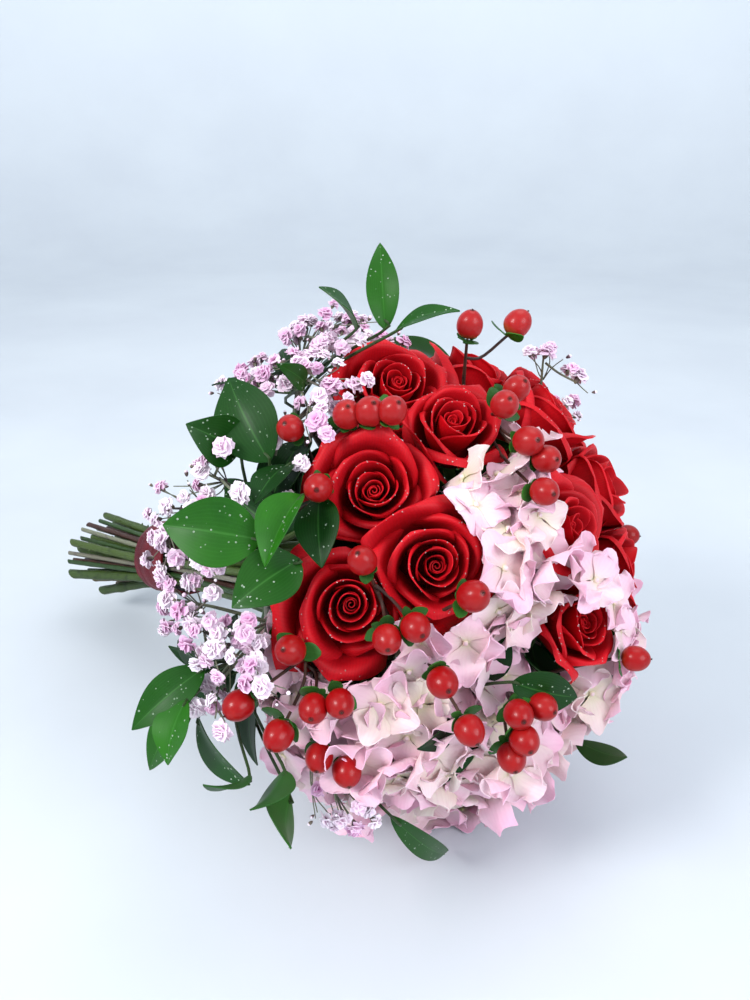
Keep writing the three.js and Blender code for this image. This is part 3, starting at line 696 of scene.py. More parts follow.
# At the heart and at the rim: how far a petal goes round to each side, in degrees, how much lower its sides
# are, against its height, and how far out one side lies beyond the middle, against its radius
PETAL_REACH = (112, 70)
PETAL_FALL = (0.24, 0.52)
PETAL_SPIRAL = (0.20, 0.08)
POINT_RISE, POINT_CURL = 1.5, 2.0  # how far the point of an outer petal stands up and out
# The closed underside of a bloom, as rows of radius and height
BLOOM_FOOT = [(2.0, -21.5), (6.0, -20), (9.5, -16), (10.5, -10), (8, -3), (2, 1)]


def petal_profile(t, lift, flare, openness):
    """The radius and height of a petal from its foot to its lip. t is 0 at the heart and 1 at the rim."""
    foot_radius, foot = between(t, 1.3, 6.0), between(t, -3, -17)
    cup = 2.5 + 20.0 * t**1.35
    crest = 12.3 + 4.2 * smooth(0, 0.4, t) - 11.5 * openness * smooth(0.5, 1, t) + lift
    lip = (0.1 + 0.9 * t + (1.4 + 5.4 * openness) * smooth(0.42, 1, t)) * flare
    tall = crest - foot
    closing = 0.96 + 0.04 * smooth(0, 0.3, t)
    # From the foot up through the belly to the crest, and over it to the lip that turns out
    return [
        (foot_radius, foot),
        (between(t, 0.76, 0.60) * cup, foot + 0.2 * tall),
        (between(t, 0.93, 0.84) * cup, foot + 0.48 * tall),
        (between(t, 0.99, 0.98) * cup, foot + 0.76 * tall),
        (cup * closing + 0.3 * lip, crest - 0.05 * tall),
        (cup * closing + 0.75 * lip, crest),
        (cup * closing + 1.1 * lip, crest - 0.32 * lip),
    ]


def rose_petal(t, turn, own, openness):
    """A petal's grid of points and tags, round the rose's axis, with its rows closest at the lip."""
    v = 1 - np.linspace(1, 0, PETAL_ROWS)[:, None] ** 1.5
    u = np.linspace(-1, 1, PETAL_COLUMNS)[None, :]
    outer = smooth(0.35, 1, t)
    lift = rng.normal(0, 1.0) + outer * rng.uniform(-2.0, 3.0)
    profile = petal_profile(t, lift, rng.uniform(0.7, 1.3), openness)
    half = math.radians(between(t**0.7, *PETAL_REACH)) * rng.uniform(0.94, 1.06)
    radius, height = np.moveaxis(curve(profile, v + 0 * u), -1, 0)
    foot = profile[0][1]
    height = foot + (height - foot) * (1 - between(t, *PETAL_FALL) * np.abs(u) ** 3)
    spiral = between(t, *PETAL_SPIRAL) * u + 0.04 * (u**2 - 0.3)
    radius = radius * (1 + spiral * smooth(0, 0.4, v))
    radius = radius + (0.3 + 0.4 * outer) * smooth(0.55, 1.0, np.abs(u)) * v**3
    wave = rng.uniform(0, WHOLE_TURN, 4)
    ruffle = v**3 * (0.4 + 0.9 * outer)
    height = height + ruffle * (0.8 * np.sin(2.6 * u + wave[0]) + 0.35 * np.sin(6.5 * u + wave[1]))
    radius = radius + ruffle * (0.8 * np.sin(3.4 * u + wave[2]) + 0.25 * np.sin(8.0 * u + wave[3]))
    point = np.exp(-((u / 0.16) ** 2)) * v**8 * outer
    height = height + point * POINT_RISE
    radius = radius + point * POINT_CURL
    rounding = (0.06 + 0.24 * outer) * smooth(0.5, 1.0, v)
    angle = turn + half * u * (0.42 + 0.58 * smooth(0, 0.5, v) - rounding)
    off = HEART_OFFSET * (1 - t)
    points = stacked(radius * np.cos(angle) + off, radius * np.sin(angle), height)
    return points, stacked(u, v, own)


def rose_coil(turn):
    """The tight scroll at the rose's heart."""
    v, u = rows_and_columns(PETAL_ROWS, 2 * PETAL_COLUMNS)
    angle = turn + 1.7 * math.pi * (u + 1)
    radius = (0.5 + 1.1 * (u + 1)) * (1.06 - 0.12 * v)
    height = -3 + 15.2 * v * (1 - 0.03 * (1 - u)) - 1.8 * v * smooth(0.6, 1, u)
    points = stacked(radius * np.cos(angle) + HEART_OFFSET, radius * np.sin(angle), height)
    return points, stacked(u, v, 0.5)


def sway(points, amount, length, phase):
    """Bends points gently out of a perfect round form."""
    x, y, z = np.moveaxis(points, -1, 0) / length
    aside = np.sin(y + phase) + np.cos(z * 1.3)
    back = np.sin(z + phase * 2) + np.cos(x * 1.2)
    return points + amount * stacked(aside, back, np.sin(x + y + phase))


GIVE = 3.0  # how far before the meeting plane a pressed petal starts to give way
PRESS_REACH = 12.0  # the gap between roses up to which one presses the other


def pressed(points, rose):
    """Presses a rose's petals back where the roses beside it push against them."""
    for other in ROSES:
        away = other.centre - rose.centre
        distance = np.linalg.norm(away)
        if other is rose or distance > rose.radius + other.radius + PRESS_REACH:
            continue
        normal = away / distance
        middle = (distance**2 + rose.radius**2 - other.radius**2) / (2 * distance) - 0.3
        depth = (points - rose.centre) @ normal - middle
        over = np.maximum(depth + GIVE, 0)
        points = points - (over - GIVE * (1 - np.exp(-over / GIVE)))[..., None] * normal
    return points


def rose_bloom(rose):
    made = Surfaces(ROSE)
    basis = turn_to(rose.axis, rose.number * 1.3)
    faces = []
    first = rng.uniform(0, WHOLE_TURN)
    grids = [(0.0, *rose_coil(first))]
    for i in range(PETALS):
        t = i / (PETALS - 1)
        turn = first + PETAL_STEP * i + rng.uniform(-0.25, 0.25)
        own = np.clip(rng.normal(0.4, 0.25), 0, 1)
        grids.append((t, *rose_petal(t, turn, own, rose.openness)))
    for t, grid, tags in grids:
        grid = sway(grid * rose.size, 0.9, 10.0, rose.number)
        grid = pressed(grid @ basis.T + rose.centre, rose)
        edge = np.maximum(np.abs(tags[..., 0]) ** 6, tags[..., 1] ** 6)
        made.sheet(grid, PETAL_THICKNESS * (1 - 0.4 * edge), tags)
        if t > 0.3:
            faces.append(grid[PETAL_ROWS // 2 :, 3:-3])
    foot = ring_rows(BLOOM_FOOT, 20) * rose.size @ basis.T + rose.centre
    # Its tag gives it the dark foot end of the petals' colour, which is painted shade
    made.rings(pressed(foot, rose), np.array([0, 0.1, 0.5]))
    rose.faces = faces
    piece(f"rose_{rose.number:02d}_bloom", made, "rose_petal", f"rose_bloom_{rose.number:02d}")


def ring_rows(profile, sides):
    """Rings of points round +Z from rows of radius and height."""
    turn = np.linspace(0, 2 * math.pi, sides, endpoint=False)
    profile = np.asarray(profile, float)
    return stacked(profile[:, :1] * np.cos(turn), profile[:, :1] * np.sin(turn), profile[:, 1:])


# Hydrangeas


class Head:
    """A hydrangea head. It has half its length, breadth and depth, the lean and clock that its length points
    towards, the florets of its solid, and how far its florets are from pink to cream at the least."""

    def __init__(self, number, lean, clock, out, long, broad, deep, towards, florets, cream):
        self.number = number
        self.cream = cream
        self.outward = direction(lean, clock)
        self.centre = place(lean, clock, out)
        self.size = np.array([long, broad, deep], float)
        self.florets = florets
        along = direction(*towards)
        along = unit(along - self.outward * (along @ self.outward))
        self.basis = np.stack([along, np.cross(self.outward, along), self.outward], axis=1)
        self.radius = (long + broad) / 2 + 2


HEADS = [
    Head(number, *values)
    for number, values in enumerate(
        [
            (30, -46, 84, 66, 38, 41, (36, 22), 19, 0.1),
            (62, -108, 80, 52, 51, 46, (75, -75), 20, 0.0),
            (47, -152, 78, 48, 44, 46, (47, -100), 13, 0.4),
            (33, 142, 82, 50, 40, 42, (40, 100), 13, 0.4),
            (76, 138, 78, 50, 44, 46, (76, 100), 10, 0.2),
            (88, 180, 78, 54, 54, 58, (88, 140), 17, 0.0),
        ],
        1,
    )
]
HEAD_BASE = 62.0
PRESSED_BELOW, PRESSED_AT = 7.0, 1.2  # a floret lower than the first is pressed flat at the second
SEPAL_LENGTH = 18.0
SEPAL_WIDTH = 20.0
SEPAL_THICKNESS = 0.4
SEPAL_STEP = 0.7  # how much higher every other sepal of a floret lies
EYE_LIFT = 1.2
GOLDEN = math.pi * (3 - math.sqrt(5))
# Each layer's size against the head's, florets against the head's count, how far round it goes, tilt, and
# the points along a sepal
HEAD_LAYERS = ((1.0, 3.7, 1.3, 0.5, 7), (0.8, 2.0, 1.4, 0.4, 5))


def sepal(length, width, dish, own, fineness):
    """A rounded-diamond sepal along +X from its claw, dished upwards."""
    v, u = rows_and_columns(fineness, fineness)
    outline = 0.08 + 0.92 * smooth(0, 0.5, v) - 0.4 * smooth(0.55, 1.05, v)
    reach = v * (1 - 0.38 * np.abs(u) ** 2.2 * v**2) + 0.03 * v**4 * (1 - np.abs(u)) ** 2
    wave = rng.uniform(0, WHOLE_TURN, 2)
    curl = rng.uniform(-0.22, 0.1)
    raised_sides = rng.uniform(0, 0.16) * width * np.abs(u) ** 2 * v
    lift = dish * length * (v**1.8) + curl * length * v**4 + raised_sides
    ruffle = 0.07 * width * v**2 * (np.sin(3.4 * u + wave[0]) + 0.5 * np.abs(u) * np.sin(7 * v + wave[1]))
    return stacked(length * reach, width / 2 * u * outline, lift + ruffle), stacked(u, v, own)


def floret(made, spot, normal, own, size, fineness):
    """Four sepals round a small eye, lifted by turns so that they overlap."""
    basis = turn_to(normal, rng.uniform(0, WHOLE_TURN))
    dish = rng.uniform(0.05, 0.6)
    for k in range(4):
        length = SEPAL_LENGTH * size * rng.uniform(0.85, 1.05)
        width = SEPAL_WIDTH * size * rng.uniform(0.85, 1.05)
        tint = np.clip(own + rng.normal(0, 0.08), 0, 1)
        grid, tags = sepal(length, width, dish * rng.uniform(0.6, 1.3), tint, fineness)
        x, y, z = np.moveaxis(grid, -1, 0)
        turn = math.pi / 2 * k + rng.uniform(-0.2, 0.2)
        lift = SEPAL_STEP * (k % 2) + rng.uniform(-0.1, 0.1)
        grid = turned(x, y, z + lift, turn)
        made.sheet(clear_of_roses(grid @ basis.T + spot), SEPAL_THICKNESS, tags)
    eye = clear_of_roses(spot + basis[:, 2] * EYE_LIFT)
    made.bead(eye, normal, 1.5 * size, 1.4 * size, own, 8, 4, EYE, eye_shape)


def eye_shape(turn, lift):
    return 1 + 0.12 * np.cos(4 * turn) * (1 - lift**2)


YIELD = 1.6  # how softly a sepal or leaf starts to give way beside a rose
TABLE_GIVE = 4.0  # how far above the table it starts to give way there
# The room round a rose's middle: beside it, and how much less there is before its face and behind it
ROOM_BESIDE, ROOM_BEFORE, ROOM_BEHIND = 29.5, 10.0, 4.0


def clear_of_roses(points):
    """Moves points out of the roses that they would reach into, and up off the table."""
    points = np.asarray(points, float)
    for rose in ROSES:
        away = points - rose.centre
        distance = np.linalg.norm(away, axis=-1, keepdims=True)
        facing = away @ rose.axis / np.maximum(distance[..., 0], 1e-6)
        less = ROOM_BEFORE * smooth(0.2, 1.0, facing) + ROOM_BEHIND * smooth(0.0, -1.0, facing)
        over = (rose.size * (ROOM_BESIDE - less)[..., None] - distance) / YIELD
        inside = YIELD * np.log1p(np.exp(np.clip(over, -30, 30)))
        points = points + away / np.maximum(distance, 1e-6) * inside
    points = points.copy()
    lowest = TABLE_CLEARANCE + 0.25
    low = np.maximum(lowest + TABLE_GIVE - points[..., 2], 0)
    raised = points[..., 2] + low - TABLE_GIVE * (1 - np.exp(-low / TABLE_GIVE))
    points[..., 2] = np.maximum(raised, lowest)
    return points


# Middles and sizes of the places among the roses where no floret shows
BARE = [(seen(562, 418, 122), 25), (seen(580, 462, 120), 22)]


BESIDE_ROSE = 1.06  # how near a rose's middle a floret may be, against the rose's radius
MINGLING = 400.0  # how much nearer the next head a floret may be, in square millimetres


def crowded_out(spot, head):
    """Whether a rose, a bare place or another head has the place of a floret."""
    if any(np.linalg.norm(spot - rose.centre) < BESIDE_ROSE * rose.radius for rose in ROSES):
        return True
    if any(np.linalg.norm(spot - middle) < size for middle, size in BARE):
        return True
    own = ((spot - head.centre) ** 2).sum() - head.radius**2
    return any(((spot - other.centre) ** 2).sum() - other.radius**2 < own - MINGLING for other in HEADS)


GAP_FLORET_SIZE = 0.92
# More florets that show between the roses, by the number of their head
GAP_FLORETS = {
    4: all_seen((577, 568, 121), (594, 580, 126), (612, 602, 122))
    + all_seen((618, 630, 122), (616, 660, 120), (614, 692, 118)),
    2: all_seen((300, 720, 122), (285, 755, 122), (325, 785, 122), (352, 808, 122)),
}


def pedicel(made, path):
    """A floret's stalk, thinning towards the floret."""
    made.tube(path, np.linspace(1.5, 0.6, len(path)), 5, rng.random(), PEDICEL)


def gap_florets(made, head, foot):
    for spot in GAP_FLORETS.get(head.number, []):
        outward = outward_of(spot)
        normal = unit(outward + rng.uniform(-0.2, 0.2, 3))
        floret(made, spot, normal, rng.uniform(0.0, 0.5), GAP_FLORET_SIZE, HEAD_LAYERS[0][-1])
        path = [foot, spot - outward * 32, spot - outward * 12, spot - normal * 0.6]
        pedicel(made, curve(path, np.linspace(0, 1, 9)))


def floret_layer(made, head, foot, layer):
    """Florets evenly over a layer of the head, each turned and set back by chance."""
    scale, crowd, span, tilt, fineness = HEAD_LAYERS[layer]
    count = int(head.florets * crowd)
    for i in range(count):
        rise = 1 - span * (i + 0.3) / count
        round_ = math.sqrt(max(1 - rise**2, 0))
        ball = around(GOLDEN * (i + 0.5) + layer * 1.7, rise, round_)
        normal = unit(unit(ball / head.size) + rng.uniform(-tilt, tilt, 3))
        spot = head.basis @ (ball * head.size * scale * rng.uniform(0.88, 1.0)) + head.centre
        normal = head.basis @ normal
        if crowded_out(spot, head) or (spot - foot) @ head.outward < 2:
            continue
        if spot[2] < PRESSED_BELOW:
            spot[2] = PRESSED_AT
            normal = unit(np.array([0, 0, -1]) + 0.2 * normal)
        own = between(rng.random(), head.cream, 1.0)
        floret(made, spot, normal, own, rng.uniform(0.86, 1.06), fineness)
        middle = foot + head.outward * 8 + (spot - foot) * 0.3
        path = curve([foot - head.outward * 1.0, middle, spot - normal * 0.6], np.linspace(0, 1, 7))
        pedicel(made, clear_of_roses(path))


def hydrangea_head(head):
    made = Surfaces(SEPAL, EYE, PEDICEL)
    foot = HEAD_CENTRE + head.outward * HEAD_BASE
    gap_florets(made, head, foot)
    for layer in range(len(HEAD_LAYERS)):
        floret_layer(made, head, foot, layer)
    piece(f"hydrangea_{head.number}_head", made, "hydrangea_sepal", f"hydrangea_head_{head.number}")


# Sprays: where their stems branch, and where their berries, leaves and flowers are. A place that shows is
# given by its pixel in the photograph and how far it is from the head's centre, and a hidden one by its
# lean, its clock and how far it is

BERRY_RADIUS = 6.4
BERRY_HALF_LENGTH = 7.6
BERRY_NECK = 1.8
TWIG_PARTING = 8.0
TWIG_DIP = 5.5
# By spray and place in its cluster, a berry that bends in from its solid's place, behind the roses
BENT_IN = {(6, 1): place(46, 93, 128)}
HYPERICUM = [
    (
        place(84, -28, 110),
        [
            all_seen((290, 428, 136), (318, 488, 134)),
            all_seen((347, 414, 136), (370, 411, 138), (393, 410, 140)),
        ],
    ),
    (
        place(60, 7, 110),
        [
            all_seen((470, 324, 146), (518, 323, 150)),
            all_seen((517, 388, 136), (505, 404, 138), (529, 441, 136))
            + all_seen((547, 459, 134), (543, 493, 136)),
        ],
    ),
    (
        place(72, -92, 108),
        [
            all_seen((290, 650, 134), (238, 706, 140), (278, 736, 140))
            + all_seen((313, 709, 138), (340, 704, 136)),
            all_seen((319, 758, 134), (347, 772, 133)),
        ],
    ),
    (
        place(50, -84, 108),
        [
            all_seen((362, 560, 136), (416, 628, 135), (387, 640, 135)),
            all_seen((474, 596, 137)),
            all_seen((443, 683, 134), (470, 731, 137)),
        ],
    ),
    (
        place(30, -125, 108),
        [
            all_seen((519, 715, 134), (543, 707, 132), (525, 741, 138), (512, 758, 136)),
            [place(13, 176, 133)],
        ],
    ),
    (
        place(65, 88, 108),
        [[place(63, 88, 134), place(44, 85, 136)], [place(82, 90, 134)]],
    ),
]
# Each leaf is its base, its tip, its width, and how light its green is, for a few with the direction that
# they face, and for one with how much its sides fold up
# The darkest greens, given to the leaves deep among the flowers, are painted shade
RUSCUS = [
    (
        place(99, -14, 114),
        [
            (seen(385, 330, 142), seen(380, 243, 175), 17, 0.55),
            (seen(356, 330, 142), seen(319, 287, 165), 24, 0.35),
            (seen(395, 332, 146), seen(460, 311, 160), 16, 0.4),
            (seen(305, 385, 135), seen(277, 364, 160), 12, 0.3, FACING),
        ],
    ),
    (
        place(86, -54, 100),
        [
            (seen(270, 462, 128), seen(229, 378, 150), 33, 0.2),
            (seen(240, 450, 130), seen(186, 424, 160), 26, 0.25, FACING),
            (seen(262, 540, 140), seen(163, 525, 160), 32, 0.6),
            (seen(302, 495, 132), seen(265, 567, 145), 20, 0.9, None, 0.4),
            (seen(300, 560, 132), seen(232, 608, 150), 28, 0.35),
            (seen(290, 465, 124), seen(255, 505, 140), 20, 0.1),
            (seen(320, 498, 124), seen(322, 568, 130), 22, 0.1),
            (seen(304, 440, 116), seen(268, 520, 122), 28, 0.05),
            (seen(296, 506, 112), seen(310, 436, 118), 26, 0.05),
            (seen(282, 534, 118), seen(226, 488, 126), 28, 0.1),
        ],
    ),
    (
        place(95, -92, 102),
        [
            (seen(215, 668, 125), seen(178, 640, 140), 18, 0.1),
            (seen(205, 668, 135), seen(132, 730, 165), 21, 0.4),
            (seen(195, 695, 135), seen(150, 770, 160), 21, 0.5),
            (seen(187, 700, 148), seen(168, 765, 165), 24, 0.75),
            (seen(198, 718, 140), seen(250, 785, 150), 24, 0.3),
            (seen(250, 775, 150), seen(203, 785, 170), 16, 0.3),
            (seen(285, 770, 140), seen(250, 810, 165), 22, 0.35),
            (seen(290, 795, 140), seen(291, 848, 165), 25, 0.6),
            (seen(390, 815, 130), seen_at_level(447, 850, 3), 14, 0.35, FACING),
        ],
    ),
    (
        place(37, -120, 98),
        [
            (seen(512, 682, 124), seen(577, 697, 132), 22, 0.12),
            (seen(575, 740, 120), seen(627, 757, 146), 14, 0.3),
        ],
    ),
    (
        place(100, 84, 104),
        [
            (place(90, 70, 132), place(108, 62, 160), 30, 0.4),
            (place(94, 95, 132), place(112, 104, 158), 32, 0.5),
            (place(92, 44, 132), place(112, 36, 158), 26, 0.3),
        ],
    ),
]
BREATH_SPRAYS = [
    (
        place(98, -22, 104),
        [
            all_seen((305, 320, 142), (330, 338, 138), (350, 318, 140)),
            all_seen((298, 362, 138), (330, 384, 137), (316, 420, 138)),
        ],
    ),
    (
        place(92, -46, 98),
        [
            all_seen((240, 370, 138), (262, 372, 138)),
            all_seen((200, 470, 138), (228, 452, 140), (245, 497, 140)),
            all_seen((165, 506, 142), (160, 543, 142), (200, 558, 140)),
        ],
    ),
    (
        place(88, -80, 98),
        [
            all_seen((165, 600, 140), (190, 625, 140), (212, 648, 142)),
            all_seen((255, 665, 138), (266, 682, 138)),
            all_seen((200, 705, 142), (232, 722, 142)),
            all_seen((300, 800, 140), (340, 820, 138)),
        ],
    ),
    (
        place(61, 50, 110),
        [
            all_seen((520, 345, 142), (548, 350, 142), (580, 375, 142)),
            [place(66, 58, 142), place(72, 64, 142)],
        ],
    ),
]


# Stems, gathered without crossing from the flowers through the tie to their cut ends

STEM_RADII = {"rose": 2.75, "hydrangea": 3.5, "hypericum": 1.9, "ruscus": 1.7, "breath": 1.6}
# Distances back from the head's centre along the axis
NECK = 60.0
TIE_START = 186.0
TIE_LENGTH = 34.0
FOCUS = 262.0  # where the stems would all meet
STEM_END = 306.0
STEM_FAN = 1.75  # how much wider apart the stems are at their ends than in the tie
STEM_GAP = 0.65
TWIST = math.radians(22)
INSIDE = 56.0  # how far out from the head's centre the lines to the focus start
BEND = 80.0  # how far out a spray's stem bends
SPREADING = 0.1  # the share along the axis below which a spray's stem doesn't bend
SHORTENING = 0.12  # the most that a loose end is shortened by, against its length
HIP_DEPTH = 9.0  # how far a rose's stem starts behind its bloom
HEAD_GAP = 0.35  # between a hydrangea's head and its stem
SPREAD_ROUNDS = 900
DRAWS_PER_HEAD = 90


class Chance:
    """The seeded numbers from 0 to 1 that shorten the stems, after those that the solids' florets take."""

    SEED, TIMES, PLUS, RANGE = 20, 1664525, 1013904223, 2**32

    def __init__(self):
        self.now = self.SEED
        for _ in range(DRAWS_PER_HEAD * len(HEADS)):
            self.draw()

    def draw(self):
        self.now = (self.now * self.TIMES + self.PLUS) % self.RANGE
        return self.now / self.RANGE


def spread(spots, radii, pull):
    """Moves discs apart until each pair is clear, drawing them to the middle as it goes."""
    x, y = [float(s[0]) for s in spots], [float(s[1]) for s in spots]
    pairs = [
        (i, j, radii[i] + radii[j] + STEM_GAP) for i in range(len(spots)) for j in range(i + 1, len(spots))
    ]
    for turn in range(SPREAD_ROUNDS):
        draw = 1 - pull * (1 - turn / SPREAD_ROUNDS)
        x = [value * draw for value in x]
        y = [value * draw for value in y]
        for i, j, room in pairs:
            dx, dy = x[j] - x[i], y[j] - y[i]
            gap = math.hypot(dx, dy)
            if gap < room:
                share = (room - gap) / 2 / gap
                x[i] -= dx * share
                y[i] -= dy * share
                x[j] += dx * share
                y[j] += dy * share
    return np.stack([x, y], axis=1)


def in_plane(spot, behind):
    return HEAD_CENTRE - ALONG * behind + UPRIGHT * spot[0] + ACROSS * spot[1]


TIE_PULL = 0.02  # the share by which the first round draws the tie's stems inwards, fading to none


def stem_paths():
    """Each stem's kind and path, in the order of the roses, heads, hypericum, ruscus and baby's breath."""
    rows = [("rose", rose.outward, ROSE_SEAT - ROSE_BASE * rose.size - HIP_DEPTH) for rose in ROSES]
    rows += [("hydrangea", head.outward, HEAD_BASE - HEAD_GAP) for head in HEADS]
    for kind, sprays in (("hypericum", HYPERICUM), ("ruscus", RUSCUS), ("breath", BREATH_SPRAYS)):
        for node, _ in sprays:
            out = np.linalg.norm(node - HEAD_CENTRE)
            rows.append((kind, (node - HEAD_CENTRE) / out, out))
    radii = [STEM_RADII[kind] for kind, _, _ in rows]
    from_focus = []
    for _, outward, _ in rows:
        scale = INSIDE * (FOCUS - NECK) / (FOCUS + INSIDE * (outward @ ALONG))
        from_focus.append((outward @ UPRIGHT * scale, outward @ ACROSS * scale))
    neck = spread(from_focus, radii, 0)
    tie = spread(neck * (FOCUS - TIE_START) / (FOCUS - NECK), radii, TIE_PULL)
    c, s = math.cos(TWIST), math.sin(TWIST)
    ends = tie @ np.array([[c, s], [-s, c]]) * STEM_FAN
    chance = Chance()
    made = []
    for i, (kind, outward, out) in enumerate(rows):
        tied = [in_plane(tie[i], TIE_START), in_plane(tie[i], TIE_START + TIE_LENGTH)]
        end = in_plane(ends[i], STEM_END)
        end = end + (tied[1] - end) * SHORTENING * chance.draw()
        straight = kind in ("rose", "hydrangea") or outward @ ALONG < SPREADING
        bends = [] if straight else [HEAD_CENTRE + outward * BEND]
        made.append((kind, [HEAD_CENTRE + outward * out, *bends, in_plane(neck[i], NECK), *tied, end]))
    reach = max(math.hypot(*tie[i]) + radii[i] for i in range(len(rows)))
    return made, reach


STEMS, TIE_RADIUS = stem_paths()


def stems_of(kind):
    return [path for each, path in STEMS if each == kind]


LOOSE_END = 78.0  # the length of a stem behind the tie that is knobbly
KNOB_LENGTH = 3.2


def stem(made, path, kind, skin):
    """A stem with its knobs and its slanting cut end."""
    line = rounded(path)
    at = np.concatenate([[0], np.cumsum(np.linalg.norm(np.diff(line, axis=0), axis=1))])
    radius = np.full(len(line), STEM_RADII[kind])
    radius[0] *= 0.8
    loose = smooth(at[-1] - LOOSE_END - 10, at[-1] - LOOSE_END, at)
    knobs = rng.uniform(18, 34) + np.arange(2) * rng.uniform(30, 44)
    for knob in knobs:
        radius = radius * (1 + 0.16 * loose * np.exp(-(((at[-1] - at - knob) / KNOB_LENGTH) ** 2)))
    radius = radius * (1 + 0.03 * loose * np.sin(at * 0.35 + rng.uniform(0, 6)))
    sides = 12 if STEM_RADII[kind] > 2 else 8
    made.tube(line, radius, sides, rng.random(), skin, PITH, slant=rng.uniform(0.2, 0.9))
    if kind == "rose":
        thorns(made, line, radius)


def thorns(made, line, radius):
    """A few cut-back thorns and bud scars on the loose part of a rose's stem."""
    for back in rng.uniform(3, 18, 3):
        i = len(line) - 1 - int(back)
        axis = unit(line[i] - line[i - 1])
        side = unit(np.cross(axis, rng.normal(size=3)))
        foot = line[i] + side * radius[i] * 0.7
        if foot[2] < 4:
            continue
        tip = foot + side * rng.uniform(1.2, 2.2) + axis * 0.6
        made.tube([foot, (foot + tip) / 2, tip], [1.3, 0.8, 0.25], 6, 0.9, ROSE_STEM)


def before_rose(spot):
    """Whether a place is in front of a rose's face."""
    for rose in ROSES:
        away = spot - rose.centre
        rise = away @ rose.axis
        if rise > 0 and np.linalg.norm(away - rise * rose.axis) < rose.radius:
            return True
    return False


ROSE_LEAVES = 7


def rose_leaves(made, rose):
    """The leaves left on just under a bloom, which close the gaps between the flowers."""
    basis = turn_to(rose.axis, rose.number * 0.7)
    foot = rose.base - rose.axis * 10
    for k in range(ROSE_LEAVES):
        turn = 2 * math.pi * k / ROSE_LEAVES + rng.uniform(-0.3, 0.3)
        heading = unit(basis @ around(turn, rng.uniform(0.4, 1.1)))
        start = foot + heading * rng.uniform(8, 12)
        tip = start + heading * rng.uniform(27, 35)
        if before_rose(tip):
            continue
        # These leaves get the darkest greens: painted shade deep among the flowers
        width, green = rng.uniform(17, 21), rng.uniform(0, 0.25)
        leaf(made, foot, start, tip, width, green, rose.axis, stalk=ROSE_STEM, rows=11)


# The hip under a bloom, as rows of radius and height
ROSE_HIP = [(2.6, -9.5), (3.6, -7), (5.2, -4), (5.4, -1.5), (4.0, 0.4)]
ROSE_SEPALS = 5
SEPAL_HALF_WIDTH = 3.4


def rose_calyx(made, rose):
    """The hip and its narrow sepals, which bend up or down by chance."""
    basis = turn_to(rose.axis, rose.number)
    seat = rose.base - rose.axis * 1.0
    made.rings(ring_rows(ROSE_HIP, 14) @ basis.T + seat, np.array([0.0, 0.4, 0.3]), ROSE_CALYX)
    v, u = rows_and_columns(9, 5)
    half = SEPAL_HALF_WIDTH * (1 - v) ** 0.8 * (0.55 + 0.9 * np.sqrt(v)) + 0.15
    for k in range(ROSE_SEPALS):
        length = rng.uniform(15, 19)
        droop = rng.uniform(-0.1, 0.35)
        out = 4.4 + length * v * 0.86
        height = 0.2 + length * (0.30 * v**1.5 - droop * v**2) + 0.25 * np.abs(u) * half
        points = turned(out, half * u, height, 2 * math.pi * k / ROSE_SEPALS)
        made.sheet(pressed(points @ basis.T + seat, rose), 0.6, stacked(u, v, 0.4), ROSE_CALYX)


def rose_stem(rose, path):
    made = Surfaces(ROSE_STEM, PITH, ROSE_CALYX, LEAF)
    stem(made, [rose.base - rose.axis * HIP_DEPTH, *path[1:]], "rose", ROSE_STEM)
    rose_leaves(made, rose)
    rose_calyx(made, rose)
    piece(f"rose_{rose.number:02d}_stem", made, "rose_stem", f"rose_stem_{rose.number:02d}")


HEAD_LEAF_WIDTH = 34


def hydrangea_stem(head, path):
    """A head's stem, and four broad leaves between it and the head."""
    skin = WOODY_STEM if head.number % 2 else ROSE_STEM
    made = Surfaces(skin, PITH, LEAF)
    stem(made, path, "hydrangea", skin)
    foot = HEAD_CENTRE + head.outward * (HEAD_BASE - 10)
    for k in range(4):
        aside = head.basis @ around(1.57 * k + 0.6, 0.55)
        heading = unit(aside + rng.uniform(-0.15, 0.15, 3))
        start = foot + heading * 9
        tip = start + heading * rng.uniform(38, 46)
        # These leaves get the darkest greens: painted shade deep among the flowers
        green = rng.uniform(0, 0.2)
        leaf(made, foot, start, tip, HEAD_LEAF_WIDTH, green, head.outward, stalk=skin, rows=13)
    piece(f"hydrangea_{head.number}_stem", made, "hydrangea_stem", f"hydrangea_stem_{head.number}")


# Finding where a spray's solids ended up, as some were lifted off the flowers under them


LIFT_STEP = 1.5
BERRY_LIFTS, FLOWER_LIFTS = 9, 12


def corners_of(node):
    mesh = frame["nodes"][node].data
    tree = KDTree(len(mesh.vertices))
    for i, vertex in enumerate(mesh.vertices):
        tree.insert(vertex.co, i)
    tree.balance()
    return tree


def distance_to(tree, point):
    return tree.find(Vector(np.asarray(point) * MM))[2] / MM


def outward_of(spot):
    return unit(spot - HEAD_CENTRE)


def partings(start, first, count):
    """Where the twigs of a cluster part from the twig of its first piece."""
    length = np.linalg.norm(first - start)
    shares = [min((TWIG_PARTING + 3 * (i - 1)) / length, 0.96) for i in range(1, count)]
    return [start] + [first + (start - first) * share for share in shares]


def branch_points(path, count):
    down = unit(path[1] - path[0])
    return [path[0] + down * (1.5 + 3 * i) for i in range(count)]


# Hypericum


BERRIES = []  # the middles of the berries, which the small flowers keep clear of


def berry_axis(spot, foot):
    return unit(unit(spot - foot) + outward_of(spot))


def lifted_berry(tree, spot, foot):
    """The berry's middle: one of the steps outwards, where its tip meets the solid's."""
    tries = [spot + outward_of(spot) * LIFT_STEP * step for step in range(BERRY_LIFTS)]
    return min(tries, key=lambda at: distance_to(tree, at + berry_axis(at, foot) * BERRY_HALF_LENGTH))


